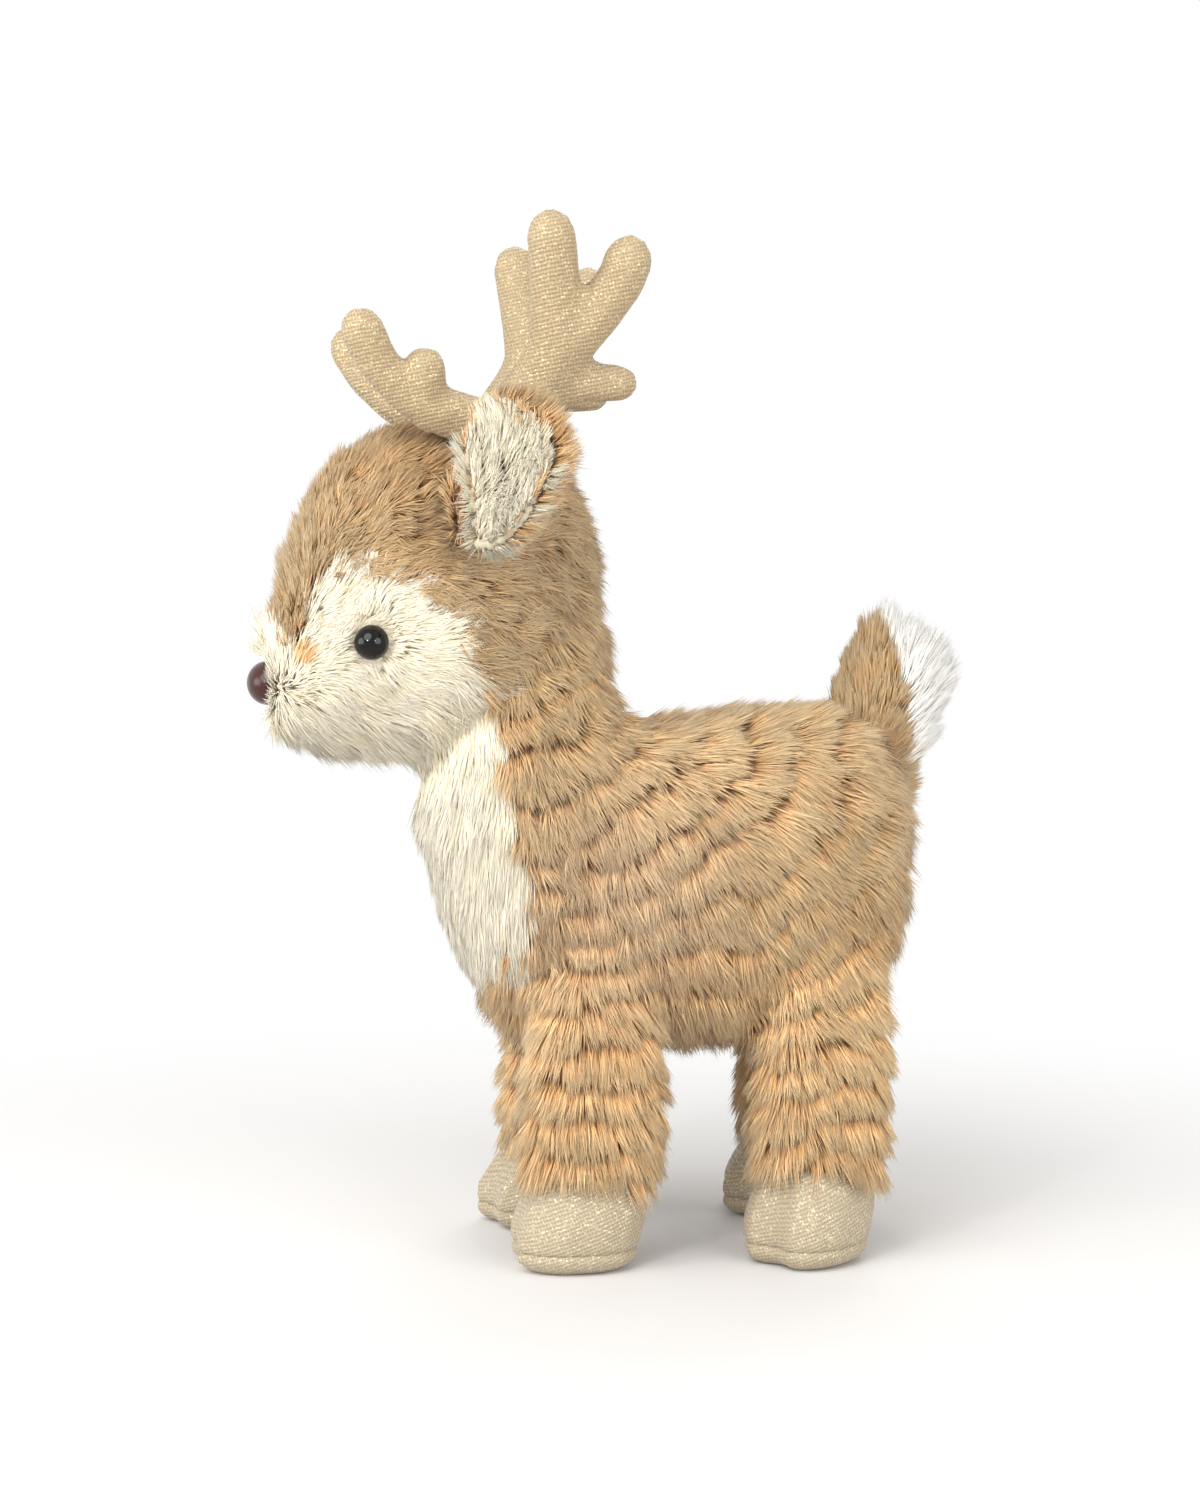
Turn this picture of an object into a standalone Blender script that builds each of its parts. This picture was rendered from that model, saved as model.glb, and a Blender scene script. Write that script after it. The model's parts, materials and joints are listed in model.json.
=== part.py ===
"""A plush deer that stands on four stuffed hooves, modelled panel by panel.

The deer faces -X, its left side faces -Y, and +Z is up. The origin is on the floor, under
the middle of the whole toy. Plush panels are drawn as thick as their pile, knitted ones as
thick as the cloth. Inside them lie the stuffing and the posts and washers of the eyes and nose.
Ears, antlers and tail are each sewn on along one line, and turn about it.
"""
import math

import bmesh
import bpy
from mathutils import Matrix, Vector

MM = 0.001
LEFT, RIGHT = -1, 1
SIDE_NAMES = {LEFT: "left", RIGHT: "right"}

# Cloth and clearances
PILE = 5.0 * MM
KNIT = 1.2 * MM
SEAM_GAP = 0.3 * MM
STUFFING_GAP = 0.3 * MM
HINGE_GAP = 0.45 * MM
OVERRUN = 20 * MM
SLIVER = 0.005 * MM
SHARPEST_CORNER = 0.5
CREASE_ANGLE = math.radians(50)

# Torso
TORSO_LENGTH = 109 * MM
TORSO_HEIGHT = 85 * MM
TORSO_WIDTH = 73 * MM
BELLY_HEIGHT = 53.1 * MM
TORSO_SQUARENESS = 2.5

# Neck and chest
NECK_LENGTH = 67 * MM
NECK_WIDTH = 66 * MM
NECK_HEIGHT = 113 * MM
CHEST_REACH = 19.3 * MM
NECK_SQUARENESS = 2.2

# Head
HEAD_LENGTH = 86.5 * MM
HEAD_HEIGHT = 84 * MM
HEAD_WIDTH = 69 * MM
HEAD_OVERHANG = 57.3 * MM
CHIN_DROP = 12.5 * MM
HEAD_SQUARENESS = 2.1

# Legs
LEG_DEPTH = 38 * MM
LEG_WIDTH = 33 * MM
LEG_REACH = 46 * MM
HIP_SPREAD = 37 * MM
FOOT_SPREAD = 49 * MM
FRONT_LEG_SET_BACK = 23.7 * MM
REAR_LEG_SET_IN = 27.8 * MM
REAR_STAGGER = 6.5 * MM
LEG_LEAN = 3.5 * MM
LEG_SQUARENESS = 2.2
FETLOCK_HEIGHT = 19.2 * MM

# Hooves
HOOF_LENGTH = 34 * MM
HOOF_WIDTH = 29.5 * MM
HOOF_HEIGHT = 24.4 * MM
HOOF_FORWARD = 4.0 * MM
SOLE_SEAM_HEIGHT = 5.2 * MM
TOE_CLEFT_DEPTH = 3.6 * MM
HOOF_SQUARENESS = 2.3

# Eyes and nose
EYE_DIAMETER = 8.6 * MM
EYE_DOME = 4.4 * MM
EYE_SEAT_DEPTH = 2.4 * MM
EYE_FROM_NOSE = 27 * MM
EYE_ABOVE_CHIN = 28.6 * MM
NOSE_HEIGHT = 11 * MM
NOSE_WIDTH = 14 * MM
NOSE_DOME = 5.2 * MM
NOSE_SEAT_DEPTH = 3.6 * MM
NOSE_ABOVE_CHIN = 17.5 * MM
POST_DIAMETER = 3.2 * MM
POST_END = 1.0 * MM
WASHER_DIAMETER = 10 * MM
WASHER_THICKNESS = 1.2 * MM
WASHER_GAP = 2.7 * MM

# Ears
EAR_LENGTH = 38 * MM
EAR_WIDTH = 35 * MM
EAR_CUP = 6.0 * MM
EAR_LAYER = 3.2 * MM
EAR_SEAM_LENGTH = 17 * MM
EAR_SEAM_LIFT = 1.2 * MM
EAR_FROM_NOSE = 49 * MM
EAR_ABOVE_CHIN = 61 * MM
EAR_HEADING_SHARES = (0.50, 0.74, 0.34)
EAR_SWING = (math.radians(-20), math.radians(35))

# Antlers
ANTLER_LENGTH = 75 * MM
ANTLER_HEIGHT = 57.5 * MM
ANTLER_THICKNESS = 11.5 * MM
TINE_WIDTH = 12.8 * MM
ANTLER_SEAM_LENGTH = 13 * MM
ANTLER_SEAM_LIFT = 2.0 * MM
ANTLER_SPREAD = 34 * MM
ANTLER_SPLAY = math.radians(24)
ANTLER_FROM_NOSE = 58 * MM
ANTLER_SWING = (math.radians(-12), math.radians(12))

# Tail
TAIL_LENGTH = 43 * MM
TAIL_WIDTH = 33 * MM
TAIL_FRONT_DEPTH = 14.5 * MM
TAIL_BACK_DEPTH = 18 * MM
TAIL_PILE = 4.0 * MM
TAIL_SEAM_WIDTH = 14 * MM
TAIL_SEAM_RADIUS = 5.0 * MM
TAIL_SEAM_LIFT = 1.5 * MM
TAIL_LEAN = math.radians(11)
TAIL_BELOW_BACK = 17 * MM
TAIL_SWING = (math.radians(-35), math.radians(8))

# Points round a section, and steps up a rounded end
BODY_SIDES = 20
CORE_SIDES = 12
LIMB_SIDES = 14
LIMB_CORE_SIDES = 8
HOOF_SIDES = 14
TINE_SIDES = 8
TINE_CORE_SIDES = 6
SMALL_SIDES = 12
ROLL_STEPS = 3
DOME_STEPS = 4

# Shares of a body's box, from its front or its foot: place along, centre across, half its
# depth there, half its width there.
TORSO_SHARES = (
    (0.027, 0.535, 0.188, 0.190),
    (0.090, 0.524, 0.318, 0.330),
    (0.181, 0.512, 0.412, 0.425),
    (0.290, 0.494, 0.470, 0.473),
    (0.416, 0.482, 0.482, 0.493),
    (0.561, 0.486, 0.494, 0.500),
    (0.706, 0.500, 0.500, 0.500),
    (0.824, 0.524, 0.470, 0.473),
    (0.914, 0.535, 0.406, 0.404),
    (0.968, 0.541, 0.294, 0.295),
    (0.995, 0.547, 0.153, 0.151),
)
TORSO_TIP_SHARES = (0.54, 0.547)
NECK_SHARES = (
    (0.012, 0.520, 0.090, 0.100),
    (0.040, 0.531, 0.175, 0.200),
    (0.084, 0.560, 0.261, 0.320),
    (0.137, 0.572, 0.336, 0.400),
    (0.208, 0.560, 0.410, 0.455),
    (0.314, 0.543, 0.457, 0.490),
    (0.420, 0.522, 0.478, 0.500),
    (0.527, 0.490, 0.481, 0.490),
    (0.633, 0.465, 0.450, 0.455),
    (0.730, 0.437, 0.396, 0.430),
    (0.819, 0.426, 0.332, 0.410),
    (0.916, 0.463, 0.295, 0.385),
    (0.985, 0.482, 0.224, 0.290),
)
NECK_TIP_SHARES = (0.52, 0.482)
HEAD_SHARES = (
    (0.017, 0.235, 0.150, 0.165),
    (0.063, 0.290, 0.240, 0.270),
    (0.131, 0.385, 0.360, 0.365),
    (0.223, 0.450, 0.435, 0.435),
    (0.371, 0.495, 0.490, 0.490),
    (0.543, 0.500, 0.500, 0.500),
    (0.714, 0.492, 0.478, 0.475),
    (0.852, 0.490, 0.415, 0.415),
    (0.940, 0.485, 0.305, 0.310),
    (0.985, 0.480, 0.170, 0.180),
)
HEAD_TIP_SHARES = (0.215, 0.48)

# Legs: share of the way up from the fetlock into the torso, of the way from foot to hip
# across, of half the depth and of half the width.
LEG_SHARES = (
    (0.00, 0.00, 0.94, 0.96),
    (0.15, 0.02, 1.02, 1.02),
    (0.31, 0.12, 1.00, 1.02),
    (0.48, 0.35, 0.98, 1.00),
    (0.66, 0.72, 0.92, 0.92),
    (0.84, 1.00, 0.74, 0.78),
    (0.95, 1.05, 0.40, 0.44),
)

# Hooves: share of the height, of the forward shift, of half the length, of half the width.
SOLE_SHARES = (
    (0.00, 1.00, 0.70, 0.70),
    (0.05, 1.00, 0.86, 0.86),
    (0.12, 1.00, 0.95, 0.95),
)
HOOF_SHARES = (
    (0.42, 0.80, 1.00, 1.00),
    (0.60, 0.45, 0.98, 0.98),
    (0.80, 0.10, 0.90, 0.91),
    (1.00, 0.00, 0.78, 0.80),
)
SOLE_SEAM_SHARE = 0.97
CLEFT_FADE_SHARE = 0.5
# How far each toe is turned out, and its share of the forward shift.
STANCE = {
    ("front", LEFT): (math.radians(2), 1.0),
    ("front", RIGHT): (math.radians(-18), 1.9),
    ("rear", LEFT): (math.radians(40), 1.0),
    ("rear", RIGHT): (math.radians(12), 1.5),
}

# Side view of the cream face patch, as shares of the head's box from nose and chin.
FACE_SHARES = (
    (-0.20, 0.415), (0.000, 0.415), (0.060, 0.385), (0.105, 0.335), (0.140, 0.290),
    (0.130, 0.360), (0.133, 0.450), (0.165, 0.515), (0.235, 0.565), (0.330, 0.560),
    (0.420, 0.525), (0.510, 0.475), (0.585, 0.410), (0.640, 0.330), (0.655, 0.220),
    (0.700, 0.110), (0.660, 0.040), (0.560, -0.20), (-0.20, -0.20),
)
# Side view of the bib, as shares of the neck's box.
BIB_SHARES = (
    (-0.30, -0.20), (0.345, -0.20), (0.345, 0.103), (0.405, 0.200), (0.415, 0.335),
    (0.370, 0.445), (0.335, 0.553), (0.318, 0.680), (0.318, 1.20), (-0.30, 1.20),
)

# Ear: share of the length, share of half the width.
EAR_OUTLINE_SHARES = (
    (0.17, 0.78), (0.32, 0.94), (0.50, 1.00), (0.68, 0.93), (0.84, 0.72),
    (0.95, 0.42), (1.00, 0.16),
)
EAR_ACROSS_SHARES = (-1.0, -0.72, -0.38, 0.0, 0.38, 0.72, 1.0)
EAR_ROOT_SHARE = 0.56
EAR_LINING_START_SHARE = 0.16

# How far round its end each ring of a tine's cap lies
TINE_CAP_TURNS = (math.radians(34), math.radians(64))
TINE_CORE_CAP_TURNS = (math.radians(48),)

# Tines: shares of the antler's length, of its height and of the tine's half width.
ANTLER_SHARES = {
    "trunk": ((0.030, 0.030, 1.08), (0.095, 0.157, 1.17), (0.173, 0.296, 1.25),
              (0.213, 0.435, 1.28), (0.187, 0.626, 1.03), (0.164, 0.890, 0.98)),
    "brow": ((0.000, 0.050, 1.02), (-0.147, 0.110, 1.00), (-0.280, 0.195, 0.84),
             (-0.370, 0.325, 0.84), (-0.425, 0.470, 0.90)),
    "bud": ((-0.205, 0.120, 0.86), (-0.222, 0.200, 0.89), (-0.224, 0.302, 0.89)),
    "rear": ((0.220, 0.410, 1.15), (0.325, 0.565, 1.00), (0.392, 0.700, 0.97),
             (0.413, 0.787, 0.97)),
    "spur": ((0.160, 0.210, 0.92), (0.290, 0.255, 0.86), (0.407, 0.250, 0.74)),
}

# Tail: share of the length, of each side's depth and of half the width.
TAIL_SHARES = (
    (0.00, 0.46, 0.30, 0.52),
    (0.18, 0.74, 0.66, 0.82),
    (0.38, 1.00, 1.00, 1.00),
    (0.60, 0.90, 0.92, 0.94),
    (0.80, 0.62, 0.66, 0.70),
    (0.94, 0.30, 0.34, 0.38),
)

COLOURS = {
    "tan_plush": ((0.60, 0.40, 0.22), 0.95),
    "cream_plush": ((0.88, 0.84, 0.73), 0.95),
    "white_plush": ((0.90, 0.89, 0.84), 0.95),
    "gold_knit": ((0.76, 0.62, 0.41), 0.75),
    "hoof_knit": ((0.72, 0.63, 0.48), 0.75),
    "stuffing": ((0.93, 0.93, 0.92), 0.98),
    "bean_fill": ((0.80, 0.79, 0.75), 0.60),
    "black_plastic": ((0.01, 0.009, 0.008), 0.12),
    "brown_plastic": ((0.11, 0.035, 0.022), 0.30),
    "clear_plastic": ((0.82, 0.82, 0.80), 0.45),
}


# Scene, materials and solids
def clear_scene():
    for thing in list(bpy.data.objects):
        bpy.data.objects.remove(thing)


def finish_of(name):
    """The material of that name, made the first time it is asked for."""
    if name in bpy.data.materials:
        return bpy.data.materials[name]
    colour, roughness = COLOURS[name]
    made = bpy.data.materials.new(name)
    made.use_nodes = True
    surface = made.node_tree.nodes["Principled BSDF"]
    surface.inputs["Base Color"].default_value = (*colour, 1)
    surface.inputs["Roughness"].default_value = roughness
    surface.inputs["Metallic"].default_value = 0
    return made


def solid_from(mesh, name):
    """An object that holds a finished bmesh, with its faces turned outwards."""
    bmesh.ops.recalc_face_normals(mesh, faces=mesh.faces)
    data = bpy.data.meshes.new(name)
    mesh.to_mesh(data)
    mesh.free()
    made = bpy.data.objects.new(name, data)
    bpy.context.scene.collection.objects.link(made)
    return made


def rings_to_solid(name, rings, tips=(None, None)):
    """One closed solid through rings of equal count. Each end closes on a tip, or flat."""
    mesh = bmesh.new()
    loops = [[mesh.verts.new(point) for point in ring] for ring in rings]
    for lower, upper in zip(loops, loops[1:]):
        for i in range(len(lower)):
            mesh.faces.new((lower[i - 1], lower[i], upper[i], upper[i - 1]))
    for loop, tip in ((loops[0], tips[0]), (loops[-1], tips[1])):
        if tip is None:
            mesh.faces.new(loop)
            continue
        end = mesh.verts.new(tip)
        for i in range(len(loop)):
            mesh.faces.new((loop[i - 1], loop[i], end))
    return solid_from(mesh, name)


def bake(piece):
    """Replaces a piece's mesh by what its modifiers make of it, without its slivers."""
    bpy.context.view_layer.update()
    graph = bpy.context.evaluated_depsgraph_get()
    piece.data = bpy.data.meshes.new_from_object(piece.evaluated_get(graph))
    piece.modifiers.clear()
    mesh = bmesh.new()
    mesh.from_mesh(piece.data)
    bmesh.ops.remove_doubles(mesh, verts=mesh.verts, dist=SLIVER)
    bmesh.ops.dissolve_degenerate(mesh, edges=mesh.edges, dist=SLIVER)
    mesh.to_mesh(piece.data)
    mesh.free()


def is_closed(piece):
    """Whether a piece has faces and each of its edges joins two of them."""
    mesh = bmesh.new()
    mesh.from_mesh(piece.data)
    closed = len(mesh.faces) > 0 and all(len(edge.link_faces) == 2 for edge in mesh.edges)
    mesh.free()
    return closed


def combine(piece, operation, others):
    """Applies one Boolean with each of the others in turn, and removes them.

    On a thin shell the exact solver can lose faces. There the manifold solver does the cut.
    """
    for other in others:
        before = piece.data
        for solver in ("EXACT", "MANIFOLD"):
            piece.data = before
            cut = piece.modifiers.new(other.name, "BOOLEAN")
            cut.operation = operation
            cut.solver = solver
            cut.object = other
            bake(piece)
            if is_closed(piece):
                break
        bpy.data.objects.remove(other)
    return piece


def subtract(piece, *others):
    return combine(piece, "DIFFERENCE", others)


def unite(piece, *others):
    return combine(piece, "UNION", others)


def keep_inside(piece, *others):
    return combine(piece, "INTERSECT", others)


def copy_of(piece):
    made = piece.copy()
    made.data = piece.data.copy()
    bpy.context.scene.collection.objects.link(made)
    return made


def finished(piece, name, finish, parent):
    """Names a piece, gives it its material, shades it smooth and hangs it on its parent."""
    piece.name = name
    piece.data.materials.clear()
    piece.data.materials.append(finish_of(finish))
    piece.data.shade_smooth()
    piece.data.set_sharp_from_angle(angle=CREASE_ANGLE)
    if parent is not None:
        place = piece.matrix_world.copy()
        piece.parent = parent
        piece.matrix_world = place
    return piece


# Shapes that several pieces share
def oval(count, squareness):
    """Unit points round a superellipse, which is a circle where squareness is 2."""
    power = 2 / squareness
    points = []
    for i in range(count):
        angle = 2 * math.pi * i / count
        c, s = math.cos(angle), math.sin(angle)
        points.append((math.copysign(abs(c) ** power, c), math.copysign(abs(s) ** power, s)))
    return points


def lofted_body(name, low, size, shares, tip_shares, squareness, along_z=False, sides=BODY_SIDES):
    """A swelling body inside the box that starts at low and measures size, centred on Y.

    Its sections follow the shares along X, or along Z where along_z says so.
    """
    run, across = (2, 0) if along_z else (0, 2)

    def at(along, cross, half_cross, half_width, c, s):
        point = Vector((0, low[1] + size[1] / 2 + s * half_width * size[1], 0))
        point[run] = low[run] + along * size[run]
        point[across] = low[across] + (cross + c * half_cross) * size[across]
        return point

    unit = oval(sides, squareness)
    rings = [[at(*share, c, s) for c, s in unit] for share in shares]
    tips = (at(0, tip_shares[0], 0, 0, 0, 0), at(1, tip_shares[1], 0, 0, 0, 0))
    return rings_to_solid(name, rings, tips)


def box_between(name, low, high):
    mesh = bmesh.new()
    bmesh.ops.create_cube(mesh, size=1)
    for vertex in mesh.verts:
        for i in range(3):
            vertex.co[i] = low[i] if vertex.co[i] < 0 else high[i]
    return solid_from(mesh, name)


def turned(name, profile, sides=SMALL_SIDES, stretch=1):
    """A solid turned about Z from (radius, height) points that end on the axis."""
    rings = []
    for radius, height in profile[1:-1]:
        ring = [
            Vector((stretch * radius * c, radius * s, height)) for c, s in oval(sides, 2)
        ]
        rings.append(ring)
    tips = (Vector((0, 0, profile[0][1])), Vector((0, 0, profile[-1][1])))
    return rings_to_solid(name, rings, tips)


def prism(name, outline, y_low, y_high):
    """A side-view outline of (x, z) points, as thick in Y as the two limits say."""
    rings = [[Vector((x, y, z)) for x, z in outline] for y in (y_low, y_high)]
    return rings_to_solid(name, rings)


def widened(outline, amount):
    """A side-view outline with each of its sides moved out by one amount."""
    area = sum(a[0] * b[1] - b[0] * a[1] for a, b in zip(outline, outline[1:] + outline[:1]))
    turn = math.copysign(1, area)
    moved = []
    for i, here in enumerate(outline):
        before, after = Vector(outline[i - 1]), Vector(outline[(i + 1) % len(outline)])
        first = (Vector(here) - before).normalized()
        second = (after - Vector(here)).normalized()
        normal = (first + second).normalized()
        out = Vector((normal.y, -normal.x)) * turn
        # Where the outline bends, its corner moves further than its sides, up to a limit.
        lag = max(normal.dot(first), SHARPEST_CORNER)
        moved.append(tuple(Vector(here) + out * amount / lag))
    return moved


def half_space(side):
    """All that lies on one side of the seam along the deer's middle."""
    far = TORSO_LENGTH + HEAD_LENGTH
    top = BELLY_HEIGHT + TORSO_HEIGHT + HEAD_HEIGHT + OVERRUN
    inner, outer = SEAM_GAP / 2, TORSO_WIDTH + OVERRUN
    y = sorted((side * inner, side * outer))
    return box_between("half", (-far, y[0], -OVERRUN), (far, y[1], top))


# Boxes of the three bodies
TORSO_TOP = BELLY_HEIGHT + TORSO_HEIGHT
CHIN_HEIGHT = TORSO_TOP - CHIN_DROP
NOSE_X = -TORSO_LENGTH / 2 - HEAD_OVERHANG
TORSO_LOW = (-TORSO_LENGTH / 2, -TORSO_WIDTH / 2, BELLY_HEIGHT)
TORSO_SIZE = (TORSO_LENGTH, TORSO_WIDTH, TORSO_HEIGHT)
NECK_LOW = (-TORSO_LENGTH / 2 - CHEST_REACH, -NECK_WIDTH / 2, BELLY_HEIGHT)
NECK_SIZE = (NECK_LENGTH, NECK_WIDTH, NECK_HEIGHT)
HEAD_LOW = (NOSE_X, -HEAD_WIDTH / 2, CHIN_HEIGHT)
HEAD_SIZE = (HEAD_LENGTH, HEAD_WIDTH, HEAD_HEIGHT)


def grown_box(low, size, grow):
    return [a - grow for a in low], [a + 2 * grow for a in size]


def sides_for(grow):
    """Hidden inner surfaces need fewer sides than the ones that show."""
    return BODY_SIDES if grow >= 0 else CORE_SIDES


def torso_body(grow=0):
    low, size = grown_box(TORSO_LOW, TORSO_SIZE, grow)
    return lofted_body("torso", low, size, TORSO_SHARES, TORSO_TIP_SHARES, TORSO_SQUARENESS,
                       sides=sides_for(grow))


def neck_body(grow=0):
    low, size = grown_box(NECK_LOW, NECK_SIZE, grow)
    return lofted_body("neck", low, size, NECK_SHARES, NECK_TIP_SHARES, NECK_SQUARENESS,
                       along_z=True, sides=sides_for(grow))


def head_body(grow=0):
    low, size = grown_box(HEAD_LOW, HEAD_SIZE, grow)
    return lofted_body("head", low, size, HEAD_SHARES, HEAD_TIP_SHARES, HEAD_SQUARENESS,
                       sides=sides_for(grow))


def patch_prism(name, low, size, shares, grow=0):
    """A side-view patch of a body's box, cut through the whole deer."""
    outline = [(low[0] + x * size[0], low[2] + z * size[2]) for x, z in shares]
    reach = TORSO_WIDTH + OVERRUN
    return prism(name, widened(outline, grow), -reach, reach)


def face_prism(grow=0):
    return patch_prism("face", HEAD_LOW, HEAD_SIZE, FACE_SHARES, grow)


def bib_prism(grow=0):
    return patch_prism("bib", NECK_LOW, NECK_SIZE, BIB_SHARES, grow)


# Legs
class Leg:
    """Where one leg stands and how its sections follow it up into the torso."""

    def __init__(self, end, side):
        self.name = f"{end}_{SIDE_NAMES[side]}"
        if end == "front":
            foot_x = -TORSO_LENGTH / 2 + FRONT_LEG_SET_BACK
        else:
            stagger = REAR_STAGGER if side == RIGHT else 0
            foot_x = TORSO_LENGTH / 2 - REAR_LEG_SET_IN + stagger
        self.foot = Vector((foot_x, side * FOOT_SPREAD / 2, FETLOCK_HEIGHT))
        self.hip = Vector((foot_x + LEG_LEAN, side * HIP_SPREAD / 2, BELLY_HEIGHT + LEG_REACH))
        toe_out, forward_share = STANCE[end, side]
        self.turn = Matrix.Rotation(-side * toe_out, 4, "Z")
        self.forward = forward_share * HOOF_FORWARD

    def body(self, grow=0, lower=0):
        """The leg's solid, grown all round, with its foot lowered."""
        unit = oval(LIMB_SIDES if grow >= 0 else LIMB_CORE_SIDES, LEG_SQUARENESS)
        rings = []
        for up, across, depth, width in LEG_SHARES:
            centre = self.foot.lerp(self.hip, up)
            centre.y = self.foot.y + across * (self.hip.y - self.foot.y)
            if up == 0:
                centre.z -= lower
            half_depth = depth * LEG_DEPTH / 2 + grow
            half_width = width * LEG_WIDTH / 2 + grow
            rings.append([centre + Vector((c * half_depth, s * half_width, 0)) for c, s in unit])
        top = Vector((self.hip.x, self.hip.y, self.hip.z + grow))
        return rings_to_solid("leg", rings, (None, top))

    def hoof_ring(self, z, shift, half_length, half_width, cleft):
        """One level section of the hoof, pointed towards -X and notched at its toe."""
        ring = []
        for i, (c, s) in enumerate(oval(HOOF_SIDES, HOOF_SQUARENESS)):
            notch = cleft if i == HOOF_SIDES // 2 else 0
            point = Vector((c * half_length + notch - shift, s * half_width, 0))
            point = self.turn @ point
            ring.append(Vector((self.foot.x + point.x, self.foot.y + point.y, z)))
        return ring

    def hoof_rings(self, shares, grow, lift=0):
        rings = []
        for up, forward, length, width in shares:
            rings.append(self.hoof_ring(
                max(up * HOOF_HEIGHT, lift), forward * self.forward,
                length * HOOF_LENGTH / 2 + grow, width * HOOF_WIDTH / 2 + grow,
                TOE_CLEFT_DEPTH * (1 - CLEFT_FADE_SHARE * up) - grow,
            ))
        return rings

    def seam_ring(self, grow, offset=0):
        return self.hoof_ring(
            SOLE_SEAM_HEIGHT + offset, self.forward, SOLE_SEAM_SHARE * HOOF_LENGTH / 2 + grow,
            SOLE_SEAM_SHARE * HOOF_WIDTH / 2 + grow, TOE_CLEFT_DEPTH - grow,
        )

    def hoof_body(self, grow=0):
        rings = self.hoof_rings(SOLE_SHARES, grow)
        rings += [self.seam_ring(grow)] + self.hoof_rings(HOOF_SHARES, grow)
        return rings_to_solid("hoof", rings)

    def sole(self):
        """The shallow dish of knit under the seam, with its flat foot on the floor."""
        outer = self.hoof_rings(SOLE_SHARES, 0) + [self.seam_ring(0, -SEAM_GAP / 2)]
        dish = rings_to_solid("sole", outer)
        inner = [self.seam_ring(-KNIT, 0)] + self.hoof_rings(SOLE_SHARES[::-1], -KNIT, KNIT)
        return subtract(dish, rings_to_solid("sole core", inner))

    def hoof_cover(self):
        """The knitted wall from the sole's seam up to the leg."""
        outer = [self.seam_ring(0, SEAM_GAP / 2)] + self.hoof_rings(HOOF_SHARES, 0)
        wall = rings_to_solid("hoof cover", outer)
        inner = [self.seam_ring(-KNIT, 0)] + self.hoof_rings(HOOF_SHARES, -KNIT)
        for point in inner[-1]:
            point.z += SEAM_GAP
        return subtract(wall, rings_to_solid("hoof core", inner))

    def hoof_stuffing(self):
        inset = -KNIT - STUFFING_GAP
        rings = self.hoof_rings(SOLE_SHARES[:2], inset, KNIT + STUFFING_GAP)
        for point in rings[1]:
            point.z += KNIT
        rings += [self.seam_ring(inset)] + self.hoof_rings(HOOF_SHARES, inset)
        return rings_to_solid("hoof stuffing", rings)


def above(height):
    """All that lies over one level, to trim the foot of a limb."""
    far = TORSO_LENGTH
    return box_between("above", (-far, -far, height), (far, far, height + far))


# Places on a body's surface, and the frames of what is sewn there
def surface_seat(body, start, direction):
    """Where a line first meets a body from outside, and the normal there. Removes the body."""
    bpy.context.view_layer.update()
    hit, place, normal, _ = body.ray_cast(start, direction)
    bpy.data.objects.remove(body)
    if not hit:
        raise ValueError("the line passes the body by")
    return place, normal


def frame_at(place, x_axis, y_axis):
    """A matrix at a place, with its X along one direction and its Y near the other."""
    x = Vector(x_axis).normalized()
    z = x.cross(y_axis).normalized()
    y = z.cross(x)
    return Matrix.Translation(place) @ Matrix((x, y, z)).transposed().to_4x4()


def head_side_seat(from_nose, above_chin, side):
    start = Vector((NOSE_X + from_nose, side * (HEAD_WIDTH + OVERRUN), CHIN_HEIGHT + above_chin))
    return surface_seat(head_body(), start, Vector((0, -side, 0)))


def eye_frame(side):
    """Z points out of the face, and the origin is where the dome sits on the backing cloth."""
    place, normal = head_side_seat(EYE_FROM_NOSE, EYE_ABOVE_CHIN, side)
    return frame_at(place - normal * EYE_SEAT_DEPTH, Vector((0, 0, 1)).cross(normal), (0, 0, 1))


def nose_frame():
    start = Vector((NOSE_X - OVERRUN, 0, CHIN_HEIGHT + NOSE_ABOVE_CHIN))
    place, normal = surface_seat(head_body(), start, Vector((1, 0, 0)))
    return frame_at(place - normal * NOSE_SEAT_DEPTH, (0, -1, 0), (0, 0, 1))


def ear_frame(side):
    """X runs along the seam, Y up the ear, and Z out of its lining."""
    place, normal = head_side_seat(EAR_FROM_NOSE, EAR_ABOVE_CHIN, side)
    back, out, up = EAR_HEADING_SHARES
    heading = Vector((back, side * out, up))
    return frame_at(place + normal * EAR_SEAM_LIFT, heading.cross(normal), heading)


def antler_frame(side):
    """X runs back along the seam, Y up the antler, and Z to the deer's left."""
    start = Vector((NOSE_X + ANTLER_FROM_NOSE, side * ANTLER_SPREAD / 2, TORSO_TOP + HEAD_HEIGHT))
    place, _ = surface_seat(head_body(), start, Vector((0, 0, -1)))
    rise = Vector((0, side * math.sin(ANTLER_SPLAY), math.cos(ANTLER_SPLAY)))
    return frame_at(place + rise * ANTLER_SEAM_LIFT, (1, 0, 0), rise)


def tail_frame():
    """X runs across along the seam, Y up the tail, and Z to its plush front."""
    start = Vector((TORSO_LENGTH, 0, TORSO_TOP - TAIL_BELOW_BACK))
    place, normal = surface_seat(torso_body(), start, Vector((-1, 0, 0)))
    rise = Vector((-math.sin(TAIL_LEAN), 0, math.cos(TAIL_LEAN)))
    return frame_at(place + normal * TAIL_SEAM_LIFT, (0, -1, 0), rise)


def placed(piece, matrix):
    piece.data.transform(matrix)
    return piece


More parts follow.
